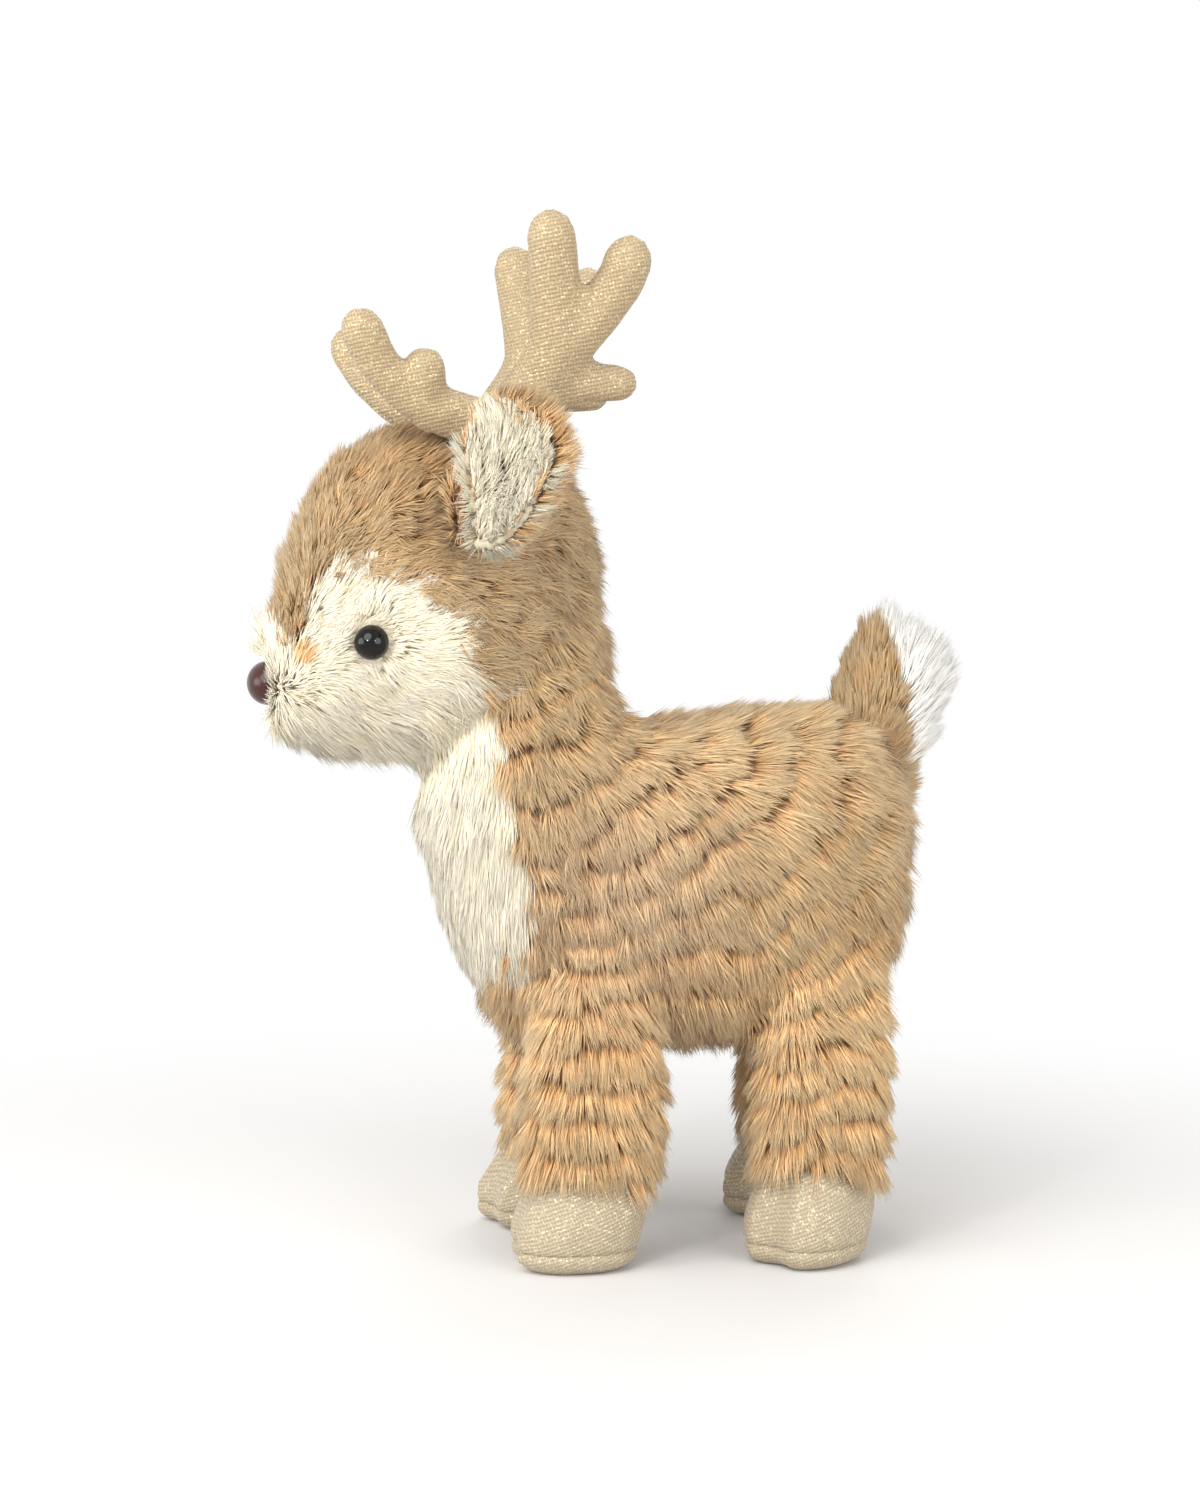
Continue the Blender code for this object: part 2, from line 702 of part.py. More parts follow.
def swept(body, frame, swing):
    """Copies of a body as a hinged piece sees it at rest and at both ends of its swing."""
    copies = []
    for angle in (swing[0], 0, swing[1]):
        turn = Matrix.Rotation(-angle, 4, "X")
        copies.append(placed(copy_of(body), turn @ frame.inverted()))
    bpy.data.objects.remove(body)
    return copies


def hinge_at(name, matrix, parent):
    """An empty on a sewn hinge line, with its X along the line."""
    made = bpy.data.objects.new(name, None)
    bpy.context.scene.collection.objects.link(made)
    made.empty_display_size = EAR_SEAM_LENGTH
    made.parent = parent
    made.matrix_world = matrix
    bpy.context.view_layer.update()
    return made


def seam_roll(length, radius, sides=TINE_SIDES):
    """The rounded edge along a hinge line, which turns in its groove: a capsule along X."""
    straight = length / 2
    profile = [(0, -straight - radius)]
    for i in range(1, ROLL_STEPS + 1):
        angle = math.pi / 2 * i / ROLL_STEPS
        profile.append((radius * math.sin(angle), -straight - radius * math.cos(angle)))
    profile += [(r, -z) for r, z in profile[::-1]]
    return placed(turned("roll", profile, sides), Matrix.Rotation(math.pi / 2, 4, "Y"))


def ear_roll(grow=0):
    return seam_roll(EAR_SEAM_LENGTH - 2 * EAR_LAYER, EAR_LAYER + grow)


def antler_roll(grow=0):
    return seam_roll(ANTLER_SEAM_LENGTH - ANTLER_THICKNESS, ANTLER_THICKNESS / 2 + grow)


def tail_roll(grow=0):
    return seam_roll(TAIL_SEAM_WIDTH - 2 * TAIL_SEAM_RADIUS, TAIL_SEAM_RADIUS + grow, LIMB_SIDES)


# Eyes and nose
def rod(radius, low, high, stretch=1):
    """A round bar along Z between two heights."""
    profile = [(0, low), (radius, low), (radius, high), (0, high)]
    return turned("rod", profile, stretch=stretch)


def button(radius, dome, post_length, grow=0, stretch=1):
    """A moulded dome on its post, turned about Z, which points out of the cloth."""
    edge = radius + grow
    profile = [(0, -grow), (edge, -grow)]
    for i in range(1, DOME_STEPS):
        angle = math.pi / 2 * i / DOME_STEPS
        profile.append((edge * math.cos(angle), (dome + grow) * math.sin(angle)))
    top = turned("button", profile + [(0, dome + grow)], stretch=stretch)
    return unite(top, rod(POST_DIAMETER / 2 + grow, -post_length - grow, dome / 2))


def button_hole(radius, stretch=1):
    """The way through a cloth panel for a button and its post, open towards the outside."""
    hole = rod(radius + SEAM_GAP, -SEAM_GAP, OVERRUN, stretch)
    return unite(hole, rod(POST_DIAMETER / 2 + SEAM_GAP, -OVERRUN, OVERRUN / 2))


def washer_depth(seat_depth):
    """How far behind the dome's seat the washer's front lies, just clear of the cloth's back."""
    return PILE - seat_depth + WASHER_GAP


def post_length(seat_depth):
    return washer_depth(seat_depth) + WASHER_THICKNESS + POST_END


def washer(seat_depth, grow=0):
    """The push-on disc that grips a post behind the cloth."""
    front = -washer_depth(seat_depth) + grow
    back = -washer_depth(seat_depth) - WASHER_THICKNESS - grow
    return rod(WASHER_DIAMETER / 2 + grow, back, front)


def drilled_washer(seat_depth):
    bore = POST_DIAMETER / 2 + SEAM_GAP / 2
    return subtract(washer(seat_depth), rod(bore, -OVERRUN, OVERRUN))


class Button:
    """An eye or the nose: where it sits, and the solids that it is made of or that clear it."""

    def __init__(self, name, finish, frame, radius, dome, seat_depth, stretch=1):
        self.name, self.finish, self.frame = name, finish, frame
        self.radius, self.dome, self.seat_depth, self.stretch = radius, dome, seat_depth, stretch
        self.post_length = post_length(seat_depth)

    def hole(self):
        return placed(button_hole(self.radius, self.stretch), self.frame)

    def inner_clearance(self):
        """Room in the stuffing for the dome's foot, the post and its washer."""
        whole = button(self.radius, self.dome, self.post_length, STUFFING_GAP, self.stretch)
        disc = washer(self.seat_depth, STUFFING_GAP)
        return [placed(whole, self.frame), placed(disc, self.frame)]

    def build(self, parent):
        dome = button(self.radius, self.dome, self.post_length, stretch=self.stretch)
        finished(placed(dome, self.frame), self.name, self.finish, parent)
        disc = placed(drilled_washer(self.seat_depth), self.frame)
        finished(disc, f"{self.name}_washer", "clear_plastic", parent)


def face_buttons():
    eyes = [
        Button(f"eye_{SIDE_NAMES[side]}", "black_plastic", eye_frame(side),
               EYE_DIAMETER / 2, EYE_DOME, EYE_SEAT_DEPTH)
        for side in (LEFT, RIGHT)
    ]
    nose = Button("nose", "brown_plastic", nose_frame(), NOSE_HEIGHT / 2, NOSE_DOME,
                  NOSE_SEAT_DEPTH, NOSE_WIDTH / NOSE_HEIGHT)
    return eyes + [nose]


# Ears
def ear_layer(low, high, start_share=0):
    """One cupped layer of the ear between two depths, in its hinge frame."""
    outline = [(a, w) for a, w in EAR_OUTLINE_SHARES if a > start_share]
    outline.insert(0, (start_share, EAR_ROOT_SHARE + start_share))

    def point(along, half, across, depth):
        x = across * half * EAR_WIDTH / 2
        return Vector((x, along * EAR_LENGTH, depth + EAR_CUP * along * (across * half) ** 2))

    mesh = bmesh.new()
    grids = []
    for depth in (low, high):
        grids.append([
            [mesh.verts.new(point(along, half, a, depth)) for a in EAR_ACROSS_SHARES]
            for along, half in outline
        ])
    for grid in grids:
        for row, following in zip(grid, grid[1:]):
            for i in range(len(row) - 1):
                mesh.faces.new((row[i], row[i + 1], following[i + 1], following[i]))
    under, over = grids
    rims = [(under[0], over[0]), (under[-1], over[-1])]
    rims += [([r[k] for r in under], [r[k] for r in over]) for k in (0, -1)]
    for lower, upper in rims:
        for i in range(len(lower) - 1):
            mesh.faces.new((lower[i], lower[i + 1], upper[i + 1], upper[i]))
    return solid_from(mesh, "ear layer")


def build_ear(side, deer):
    name = f"ear_{SIDE_NAMES[side]}"
    frame = ear_frame(side)
    hinge = hinge_at(f"{name}_hinge", frame, deer)
    lining = ear_layer(SEAM_GAP / 2, EAR_LAYER, EAR_LINING_START_SHARE)
    subtract(lining, *swept(head_body(HINGE_GAP), frame, EAR_SWING))
    outer = ear_layer(-EAR_LAYER, -SEAM_GAP / 2)
    subtract(outer, *swept(head_body(HINGE_GAP), frame, EAR_SWING))
    unite(outer, ear_roll())
    finished(placed(outer, frame), f"{name}_outer", "tan_plush", hinge)
    finished(placed(lining, frame), f"{name}_lining", "white_plush", hinge)
    return placed(ear_roll(HINGE_GAP), frame)


# Antlers
def tine(shares, grow):
    """A stuffed finger along its own centre line in the antler's plane, with round ends."""
    thin = (ANTLER_THICKNESS / 2 + grow) / (TINE_WIDTH / 2 + grow)
    points = [Vector((x * ANTLER_LENGTH, y * ANTLER_HEIGHT, 0)) for x, y, _ in shares]
    widths = [share * TINE_WIDTH / 2 + grow for _, _, share in shares]
    runs = []
    for i in range(len(points)):
        before, after = points[max(i - 1, 0)], points[min(i + 1, len(points) - 1)]
        runs.append((after - before).normalized())
    sides, turns = TINE_SIDES, TINE_CAP_TURNS
    if grow < 0:
        sides, turns = TINE_CORE_SIDES, TINE_CORE_CAP_TURNS
    stations = []
    for turn in turns[::-1]:
        back = -runs[0] * widths[0] * math.sin(turn)
        stations.append((points[0] + back, runs[0], widths[0] * math.cos(turn)))
    stations += list(zip(points, runs, widths))
    for turn in turns:
        on = runs[-1] * widths[-1] * math.sin(turn)
        stations.append((points[-1] + on, runs[-1], widths[-1] * math.cos(turn)))
    rings = []
    for centre, run, radius in stations:
        side = Vector((-run.y, run.x, 0))
        depth = Vector((0, 0, thin))
        rings.append([centre + radius * (side * c + depth * s) for c, s in oval(sides, 2)])
    tips = (points[0] - runs[0] * widths[0], points[-1] + runs[-1] * widths[-1])
    return rings_to_solid("tine", rings, tips)


def antler_body(frame, grow=0):
    """Every tine as one solid, clear of the head as it swings, on the rolled seam at its foot."""
    trunk = tine(ANTLER_SHARES["trunk"], grow)
    unite(trunk, *[tine(shares, grow) for name, shares in ANTLER_SHARES.items() if name != "trunk"])
    subtract(trunk, *swept(head_body(HINGE_GAP - grow), frame, ANTLER_SWING))
    return unite(trunk, antler_roll(grow))


def flat_half(towards_left):
    """All that lies on one side of a flat piece's middle sheet, in its hinge frame."""
    far = ANTLER_LENGTH + ANTLER_HEIGHT
    z = (SEAM_GAP / 2, far) if towards_left else (-far, -SEAM_GAP / 2)
    return box_between("flat half", (-far, -far, z[0]), (far, far, z[1]))


def build_antler(side, deer):
    name = f"antler_{SIDE_NAMES[side]}"
    frame = antler_frame(side)
    hinge = hinge_at(f"{name}_hinge", frame, deer)
    shell = subtract(antler_body(frame), antler_body(frame, -KNIT))
    for towards_left in (True, False):
        outwards = towards_left == (side == LEFT)
        panel = keep_inside(copy_of(shell), flat_half(towards_left))
        label = "outer" if outwards else "inner"
        finished(placed(panel, frame), f"{name}_{label}_panel", "gold_knit", hinge)
    bpy.data.objects.remove(shell)
    fill = antler_body(frame, -KNIT - STUFFING_GAP)
    finished(placed(fill, frame), f"{name}_stuffing", "stuffing", hinge)
    return placed(antler_roll(HINGE_GAP), frame)


# Tail
def tail_body(frame, grow=0):
    """The whole tail in its hinge frame, clear of the rump as it swings."""
    unit = oval(LIMB_SIDES, 2)
    rings = []
    # Near its tip the tail is thinner than its pile, so the hollow inside stops a ring short.
    for along, front, back, width in TAIL_SHARES if grow == 0 else TAIL_SHARES[:-1]:
        ring = []
        for c, s in unit:
            depth = TAIL_FRONT_DEPTH * front if s > 0 else TAIL_BACK_DEPTH * back
            across = c * (width * TAIL_WIDTH / 2 + grow)
            up = along * (TAIL_LENGTH + 2 * grow) - grow
            ring.append(Vector((across, up, s * (depth + grow))))
        rings.append(ring)
    body = rings_to_solid("tail", rings, (None, Vector((0, TAIL_LENGTH + grow, 0))))
    return subtract(body, *swept(torso_body(HINGE_GAP - grow), frame, TAIL_SWING))


def build_tail(deer):
    frame = tail_frame()
    hinge = hinge_at("tail_hinge", frame, deer)
    shell = subtract(tail_body(frame), tail_body(frame, -TAIL_PILE))
    top = unite(keep_inside(copy_of(shell), flat_half(True)), tail_roll())
    underside = subtract(keep_inside(shell, flat_half(False)), tail_roll(SEAM_GAP))
    fill = subtract(tail_body(frame, -TAIL_PILE - STUFFING_GAP), tail_roll(STUFFING_GAP))
    finished(placed(top, frame), "tail_top", "tan_plush", hinge)
    finished(placed(underside, frame), "tail_underside", "white_plush", hinge)
    finished(placed(fill, frame), "tail_stuffing", "stuffing", hinge)
    return placed(tail_roll(HINGE_GAP), frame)


# Body
def build_legs(deer):
    """Legs, hooves and soles. Returns the legs, whose cores open the torso's panels."""
    legs = [Leg(end, side) for end in ("front", "rear") for side in (LEFT, RIGHT)]
    for leg in legs:
        skin = subtract(
            leg.body(), leg.body(-PILE, OVERRUN), torso_body(SEAM_GAP), neck_body(SEAM_GAP),
            leg.hoof_body(SEAM_GAP),
        )
        finished(skin, f"leg_{leg.name}_panel", "tan_plush", deer)
        fill = keep_inside(leg.body(-PILE - STUFFING_GAP), above(HOOF_HEIGHT + STUFFING_GAP))
        subtract(fill, torso_body(-PILE), neck_body(-PILE))
        finished(fill, f"leg_{leg.name}_stuffing", "stuffing", deer)
        finished(leg.hoof_cover(), f"hoof_{leg.name}_cover", "hoof_knit", deer)
        finished(leg.sole(), f"hoof_{leg.name}_sole", "hoof_knit", deer)
        finished(leg.hoof_stuffing(), f"hoof_{leg.name}_beans", "bean_fill", deer)
    return legs


def build_torso(deer, legs, grooves):
    shell = subtract(torso_body(), torso_body(-PILE), neck_body(-PILE), *grooves)
    subtract(shell, *[leg.body(-PILE) for leg in legs])
    for side in (LEFT, RIGHT):
        panel = keep_inside(copy_of(shell), half_space(side))
        finished(panel, f"torso_{SIDE_NAMES[side]}_panel", "tan_plush", deer)
    bpy.data.objects.remove(shell)
    finished(torso_body(-PILE - STUFFING_GAP), "torso_stuffing", "stuffing", deer)


def build_neck(deer, legs):
    shell = subtract(
        neck_body(), neck_body(-PILE), torso_body(SEAM_GAP), head_body(SEAM_GAP),
    )
    subtract(shell, *[leg.body(-PILE) for leg in legs])
    bib = keep_inside(copy_of(shell), bib_prism())
    finished(bib, "chest_bib", "cream_plush", deer)
    sides = subtract(shell, bib_prism(SEAM_GAP))
    for side in (LEFT, RIGHT):
        panel = keep_inside(copy_of(sides), half_space(side))
        finished(panel, f"neck_{SIDE_NAMES[side]}_panel", "tan_plush", deer)
    bpy.data.objects.remove(sides)
    fill = subtract(neck_body(-PILE - STUFFING_GAP), torso_body(-PILE), head_body(-PILE))
    finished(fill, "neck_stuffing", "stuffing", deer)


def build_head(deer, grooves):
    buttons = face_buttons()
    shell = subtract(head_body(), head_body(-PILE), neck_body(-PILE), *grooves)
    subtract(shell, *[each.hole() for each in buttons])
    face = keep_inside(copy_of(shell), face_prism())
    crown = subtract(shell, face_prism(SEAM_GAP))
    for side in (LEFT, RIGHT):
        panel = keep_inside(copy_of(face), half_space(side))
        finished(panel, f"face_{SIDE_NAMES[side]}_panel", "cream_plush", deer)
        panel = keep_inside(copy_of(crown), half_space(side))
        finished(panel, f"head_{SIDE_NAMES[side]}_panel", "tan_plush", deer)
    bpy.data.objects.remove(face)
    bpy.data.objects.remove(crown)
    fill = head_body(-PILE - STUFFING_GAP)
    for each in buttons:
        subtract(fill, *each.inner_clearance())
        each.build(deer)
    finished(fill, "head_stuffing", "stuffing", deer)


def stand_on_origin(deer):
    """Moves the whole deer so that the origin is on the floor under its middle."""
    bpy.context.view_layer.update()
    corners = [
        piece.matrix_world @ vertex.co
        for piece in bpy.data.objects if piece.type == "MESH" for vertex in piece.data.vertices
    ]
    for i in range(3):
        values = [corner[i] for corner in corners]
        deer.location[i] = -min(values) if i == 2 else -(min(values) + max(values)) / 2
    bpy.context.view_layer.update()


def build():
    clear_scene()
    deer = bpy.data.objects.new("deer", None)
    bpy.context.scene.collection.objects.link(deer)
    legs = build_legs(deer)
    head_grooves = [build_ear(side, deer) for side in (LEFT, RIGHT)]
    head_grooves += [build_antler(side, deer) for side in (LEFT, RIGHT)]
    build_head(deer, head_grooves)
    build_neck(deer, legs)
    build_torso(deer, legs, [build_tail(deer)])
    stand_on_origin(deer)


build()
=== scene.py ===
# %% [markdown]
# This notebook dresses a standing plush deer. The frame holds its solids and its hinges, and
# everything that is seen is grown from them here: plush that lies in tiers, knitted antlers and
# hooves, two eyes and a nose. First the frame is loaded.

# %% Load the frame
import json
import math

import bmesh
import bpy
import numpy as np
from mathutils.bvhtree import BVHTree
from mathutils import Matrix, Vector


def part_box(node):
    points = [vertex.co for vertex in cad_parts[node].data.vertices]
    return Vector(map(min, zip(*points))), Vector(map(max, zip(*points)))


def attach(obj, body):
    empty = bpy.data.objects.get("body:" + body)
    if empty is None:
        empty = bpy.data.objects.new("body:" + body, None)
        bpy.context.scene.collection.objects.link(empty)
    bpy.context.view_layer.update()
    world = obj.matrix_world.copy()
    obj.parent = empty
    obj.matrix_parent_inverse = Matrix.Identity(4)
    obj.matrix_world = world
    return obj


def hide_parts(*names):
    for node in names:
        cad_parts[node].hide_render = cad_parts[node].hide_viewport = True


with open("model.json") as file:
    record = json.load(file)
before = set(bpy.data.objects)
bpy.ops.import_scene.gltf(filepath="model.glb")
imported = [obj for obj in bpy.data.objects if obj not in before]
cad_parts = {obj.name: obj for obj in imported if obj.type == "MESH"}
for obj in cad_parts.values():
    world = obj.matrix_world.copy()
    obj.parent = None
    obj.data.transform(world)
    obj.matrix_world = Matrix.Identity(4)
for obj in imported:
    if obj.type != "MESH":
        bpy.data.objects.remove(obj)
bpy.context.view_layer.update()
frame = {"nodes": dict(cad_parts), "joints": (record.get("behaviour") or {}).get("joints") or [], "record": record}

MM = 0.001
SIDES = {"left": -1, "right": 1}
JOINTS = {joint["name"]: joint for joint in frame["joints"]}
UP = np.array([0.0, 0, 1])

# %% [markdown]
# The photograph looks at the deer's left side, from a little in front and a little above. A
# camera far away with a long lens keeps the far legs nearly as large as the near ones. The
# camera is set first, so that a look at the scene is possible at any time.

# %% Camera
VIEW_AZIMUTH = -8
VIEW_ELEVATION = 4
VIEW_DISTANCE = 700 * MM
VIEW_TARGET = np.array([-1.5, 0, 126.0]) * MM
LENS = 66.14


def unit(vectors):
    """Each vector divided by its own length."""
    return vectors / np.maximum(np.linalg.norm(vectors, axis=-1, keepdims=True), 1e-9)


def looking(azimuth, elevation):
    """The unit vector from a target to an eye: azimuth turns it from -Y to +X, and elevation
    lifts it."""
    turn, lift = math.radians(azimuth), math.radians(elevation)
    return np.array([math.sin(turn) * math.cos(lift), -math.cos(turn) * math.cos(lift),
                     math.sin(lift)])


def aim(thing, heading, distance):
    """Puts a camera or a lamp in the scene, off the target along a heading, looking back at it."""
    right = unit(np.cross(UP, heading))
    place = np.eye(4)
    place[:3, :3] = np.stack([right, np.cross(heading, right), heading], axis=1)
    place[:3, 3] = VIEW_TARGET + distance * heading
    thing.matrix_world = place.T
    bpy.context.scene.collection.objects.link(thing)


camera = bpy.data.objects.new("camera", bpy.data.cameras.new("camera"))
camera.data.lens = LENS
aim(camera, looking(VIEW_AZIMUTH, VIEW_ELEVATION), VIEW_DISTANCE)
bpy.context.scene.camera = camera
bpy.context.scene.view_settings.view_transform = "Standard"
print("camera at", np.round(np.array(camera.matrix_world.translation) / MM))

# %% [markdown]
# The deer stands in soft studio light. One large lamp is the key, from above and in front. A
# fill opens the shadows, and lamps at the side and the back brighten the bib and the rim. Two
# small round lamps near the camera give the eyes their two highlights. The world adds light
# from all round. What the camera, metal and glass see of it is a plain white.

# %% Lamps
LAMPS = {
    # name: azimuth and elevation in degrees, distance and size in metres, power in watts
    "key": (-38, 38, 1.1, 0.9, 10.0),
    "fill": (36, 10, 1.2, 0.9, 8.0),
    "side": (-78, 4, 1.2, 0.9, 9.0),
    "back": (160, 40, 1.2, 0.9, 5.0),
    "glint_front": (-34, 16, 0.62, 0.034, 0.7),
    "glint_back": (14, 14, 0.66, 0.030, 0.45),
}

for lamp_name, (azimuth, elevation, distance, size, power) in LAMPS.items():
    lamp = bpy.data.objects.new(lamp_name, bpy.data.lights.new(lamp_name, "AREA"))
    lamp.data.shape = "DISK"
    lamp.data.size = size
    lamp.data.energy = power
    aim(lamp, looking(azimuth, elevation), distance)
print(len(LAMPS), "lamps")

# %% [markdown]
# Every finish here is a small tree of shader nodes. One short helper keeps those trees readable:
# it adds a node and fills in its settings and sockets. A socket is given by its name, or by its
# number where several share a name. It takes a value, or the output that is linked to it.

# %% Node helpers
WHITE = (1, 1, 1, 1)


def node_adder(owner):
    """Empties the node tree of a material or world and returns the function that adds to it."""
    owner.use_nodes = True
    tree = owner.node_tree
    tree.nodes.clear()

    def add(kind, numbered=(), **named):
        node = tree.nodes.new("ShaderNode" + kind)
        sockets = dict(numbered)
        for name, value in named.items():
            if hasattr(node, name):
                setattr(node, name, value)
            else:
                sockets[name.replace("_", " ")] = value
        for socket, value in sockets.items():
            if isinstance(value, bpy.types.NodeSocket):
                tree.links.new(value, node.inputs[socket])
            else:
                node.inputs[socket].default_value = value
        return node

    return add


def new_material(name):
    """A material with an empty tree, and the function that adds to it."""
    made = bpy.data.materials.new(name)
    return made, node_adder(made)


def backdrop_share(add):
    """1 for the camera's own rays and for those that metal and glass send on, else 0."""
    rays = add("LightPath").outputs
    pair = add("Math", {0: rays["Is Camera Ray"], 1: rays["Is Glossy Ray"]}, operation="MAXIMUM")
    any_of = add("Math", {0: pair.outputs[0], 1: rays["Is Transmission Ray"]},
                 operation="MAXIMUM")
    return any_of.outputs[0]


# %% World
WORLD_STRENGTH = 0.66

world = bpy.data.worlds.new("studio")
bpy.context.scene.world = world
add = node_adder(world)
light = add("Background", Color=WHITE, Strength=WORLD_STRENGTH)
white = add("Background", Color=WHITE, Strength=1.0)
both = add("MixShader", {0: backdrop_share(add), 1: light.outputs[0], 2: white.outputs[0]})
add("OutputWorld", Surface=both.outputs[0])
print("world of strength", WORLD_STRENGTH)

# %% [markdown]
# The floor is a pale sheet that fades into the white behind it. Near the hooves the camera sees
# it lit, with a soft shadow, and further out more and more as a plain white.

# %% Floor
FLOOR_SIZE = 6.0
FLOOR_DROP = 0.05 * MM
FLOOR_COLOUR = (0.66, 0.647, 0.632, 1)
FADE_START = 0.11
FADE_END = 0.36

half = FLOOR_SIZE / 2
corners = [(-half, -half), (half, -half), (half, half), (-half, half)]
floor = bpy.data.objects.new("floor", bpy.data.meshes.new("floor"))
floor.data.from_pydata([(x, y, -FLOOR_DROP) for x, y in corners], [], [(0, 1, 2, 3)])
bpy.context.scene.collection.objects.link(floor)
paper, add = new_material("studio_paper")
lit = add("BsdfPrincipled", Base_Color=FLOOR_COLOUR, Roughness=0.9)
white = add("Emission", Color=WHITE, Strength=1.0)
distance = add("VectorMath", {0: add("TexCoord").outputs["Object"]}, operation="LENGTH")
fade = add("MapRange", interpolation_type="SMOOTHSTEP", Value=distance.outputs["Value"],
           From_Min=FADE_START, From_Max=FADE_END)
share = add("Math", {0: backdrop_share(add), 1: fade.outputs[0]}, operation="MULTIPLY")
both = add("MixShader", {0: share.outputs[0], 1: lit.outputs[0], 2: white.outputs[0]})
add("OutputMaterial", Surface=both.outputs[0])
floor.data.materials.append(paper)
print("floor", FLOOR_SIZE, "m wide")

# %% [markdown]
# Colours are written as they look on a screen, in six hex digits. A shader wants linear
# values, so each one is turned into those. A palette gives a fibre's colour at its root, along
# its middle and at its tip. The root colour is darker, as painted shade for the shadow deep in
# the pile.

# %% Colours
def linear(digits):
    """Screen colour to linear: each channel plus 0.055, over 1.055, to the power of 2.4."""
    channels = np.array([int(digits[i:i + 2], 16) for i in (0, 2, 4)]) / 255
    return ((channels + 0.055) / 1.055) ** 2.4


# each palette's first colour, at the root, is painted shade for the shadow deep in the pile
PALETTES = {
    "tan_plush": ("B07A4A", "E0B781", "EAD2A8"),
    "tail_plush": ("9C7D5A", "E0B781", "EAD2A8"),
    "cream_plush": ("E3D5B6", "EDE3CC", "F3ECDA"),
    "bib_plush": ("E2D6B8", "E8DFC8", "ECE5D3"),
    "ear_plush": ("D9CDB2", "EFE5CA", "F8F1DC"),
    "white_plush": ("E9E4D8", "F6F3EC", "FCFAF5"),
}
# these are other shades of a cloth, and take the same fibre material
SAME_CLOTH = {"bib_plush": "cream_plush", "ear_plush": "white_plush", "tail_plush": "tan_plush"}
AMBER, HONEY, DUSK = (linear(digits) for digits in ("E2A866", "EDB470", "C4A992"))
print(len(PALETTES), "palettes for", len(PALETTES) - len(SAME_CLOTH), "cloths")

# %% [markdown]
# Every seen surface starts as one smooth skin. It is wrapped round copies of the frame's solids
# with a voxel remesh, which closes their hairline seams, and then relaxed, which rounds their
# facets. Arrays of points and triangles are easier to work on than mesh objects, so a skin
# stays an array until the piece is finished.

# %% Wrap solids in one skin
WELD = 0.01 * MM


def largest_shell(points, triangles):
    """The shell with the most triangles: labels spread along edges until they settle."""
    label = np.arange(len(points))
    while True:
        lowest = label[triangles].min(axis=1)
        spread = label.copy()
        for k in range(3):
            np.minimum.at(spread, triangles[:, k], lowest)
        spread = spread[spread]
        if (spread == label).all():
            break
        label = spread
    kept = triangles[label[triangles[:, 0]] == np.bincount(label[triangles[:, 0]]).argmax()]
    used, numbered = np.unique(kept, return_inverse=True)
    return points[used], numbered.reshape(-1, 3)


def wrapped(nodes, voxel):
    """Points and triangles of one closed skin round the named CAD nodes."""
    mesh = bmesh.new()
    for node in nodes:
        mesh.from_mesh(frame["nodes"][node].data)
    bmesh.ops.remove_doubles(mesh, verts=mesh.verts, dist=WELD)
    helper = bpy.data.objects.new("wrap", bpy.data.meshes.new("wrap"))
    mesh.to_mesh(helper.data)
    mesh.free()
    bpy.context.scene.collection.objects.link(helper)
    remesh = helper.modifiers.new("voxels", "REMESH")
    remesh.mode = "VOXEL"
    remesh.voxel_size = voxel
    skin = bpy.data.meshes.new_from_object(
        helper.evaluated_get(bpy.context.evaluated_depsgraph_get()))
    bpy.data.objects.remove(helper)
    skin.calc_loop_triangles()
    points = np.empty(len(skin.vertices) * 3)
    skin.vertices.foreach_get("co", points)
    triangles = np.empty(len(skin.loop_triangles) * 3, int)
    skin.loop_triangles.foreach_get("vertices", triangles)
    bpy.data.meshes.remove(skin)
    return largest_shell(points.reshape(-1, 3), triangles.reshape(-1, 3))


# %% Relax a skin and move it inwards
RELAX_PULLS = (0.55, -0.56)


def sides_of(triangles):
    """The sides of all triangles, each a pair of points: every first side, then every second
    and every third."""
    return np.concatenate([triangles[:, [0, 1]], triangles[:, [1, 2]], triangles[:, [2, 0]]])


def edges_of(triangles):
    """Each pair of points that some triangle joins, once."""
    return np.unique(np.sort(sides_of(triangles), axis=1), axis=0)


def neighbours_mean(values, edges):
    """For each point, the mean of a value over the points that it shares an edge with."""
    count = np.bincount(edges.ravel(), minlength=len(values))
    total = np.zeros_like(values)
    for axis in range(values.shape[1]):
        total[:, axis] = np.bincount(edges[:, 0], values[edges[:, 1], axis], len(values))
        total[:, axis] += np.bincount(edges[:, 1], values[edges[:, 0], axis], len(values))
    return total / count[:, None]


def relaxed(points, triangles, rounds):
    """Each point moved to the mean of its neighbours and then back by as much again, so that
    bumps go and the size stays."""
    edges = edges_of(triangles)
    for _ in range(rounds):
        for pull in RELAX_PULLS:
            points = points + pull * (neighbours_mean(points, edges) - points)
    return points


def crossed(points, triangles):
    """The cross product of two sides of each triangle: its normal, twice its area long."""
    a, b, c = (points[corner] for corner in triangles.T)
    return np.cross(b - a, c - a)


def normals_of(points, triangles):
    """A unit normal at each point: the sum of the cross products of the triangles round it."""
    face = crossed(points, triangles)
    total = np.zeros_like(points)
    for k in range(3):
        for axis in range(3):
            total[:, axis] += np.bincount(triangles[:, k], face[:, axis], len(points))
    return unit(total)


def inset(points, triangles, depth, steps=4):
    """A skin moved inwards along its normals in a few steps, and relaxed after each."""
    for _ in range(steps):
        points = points - normals_of(points, triangles) * depth / steps
        points = relaxed(points, triangles, 2)
    return points


# %% [markdown]
# A skin is cut into the same panels as the solids that it came from: each triangle belongs to
# the solid whose surface is nearest. A tree of boxes finds that surface quickly.

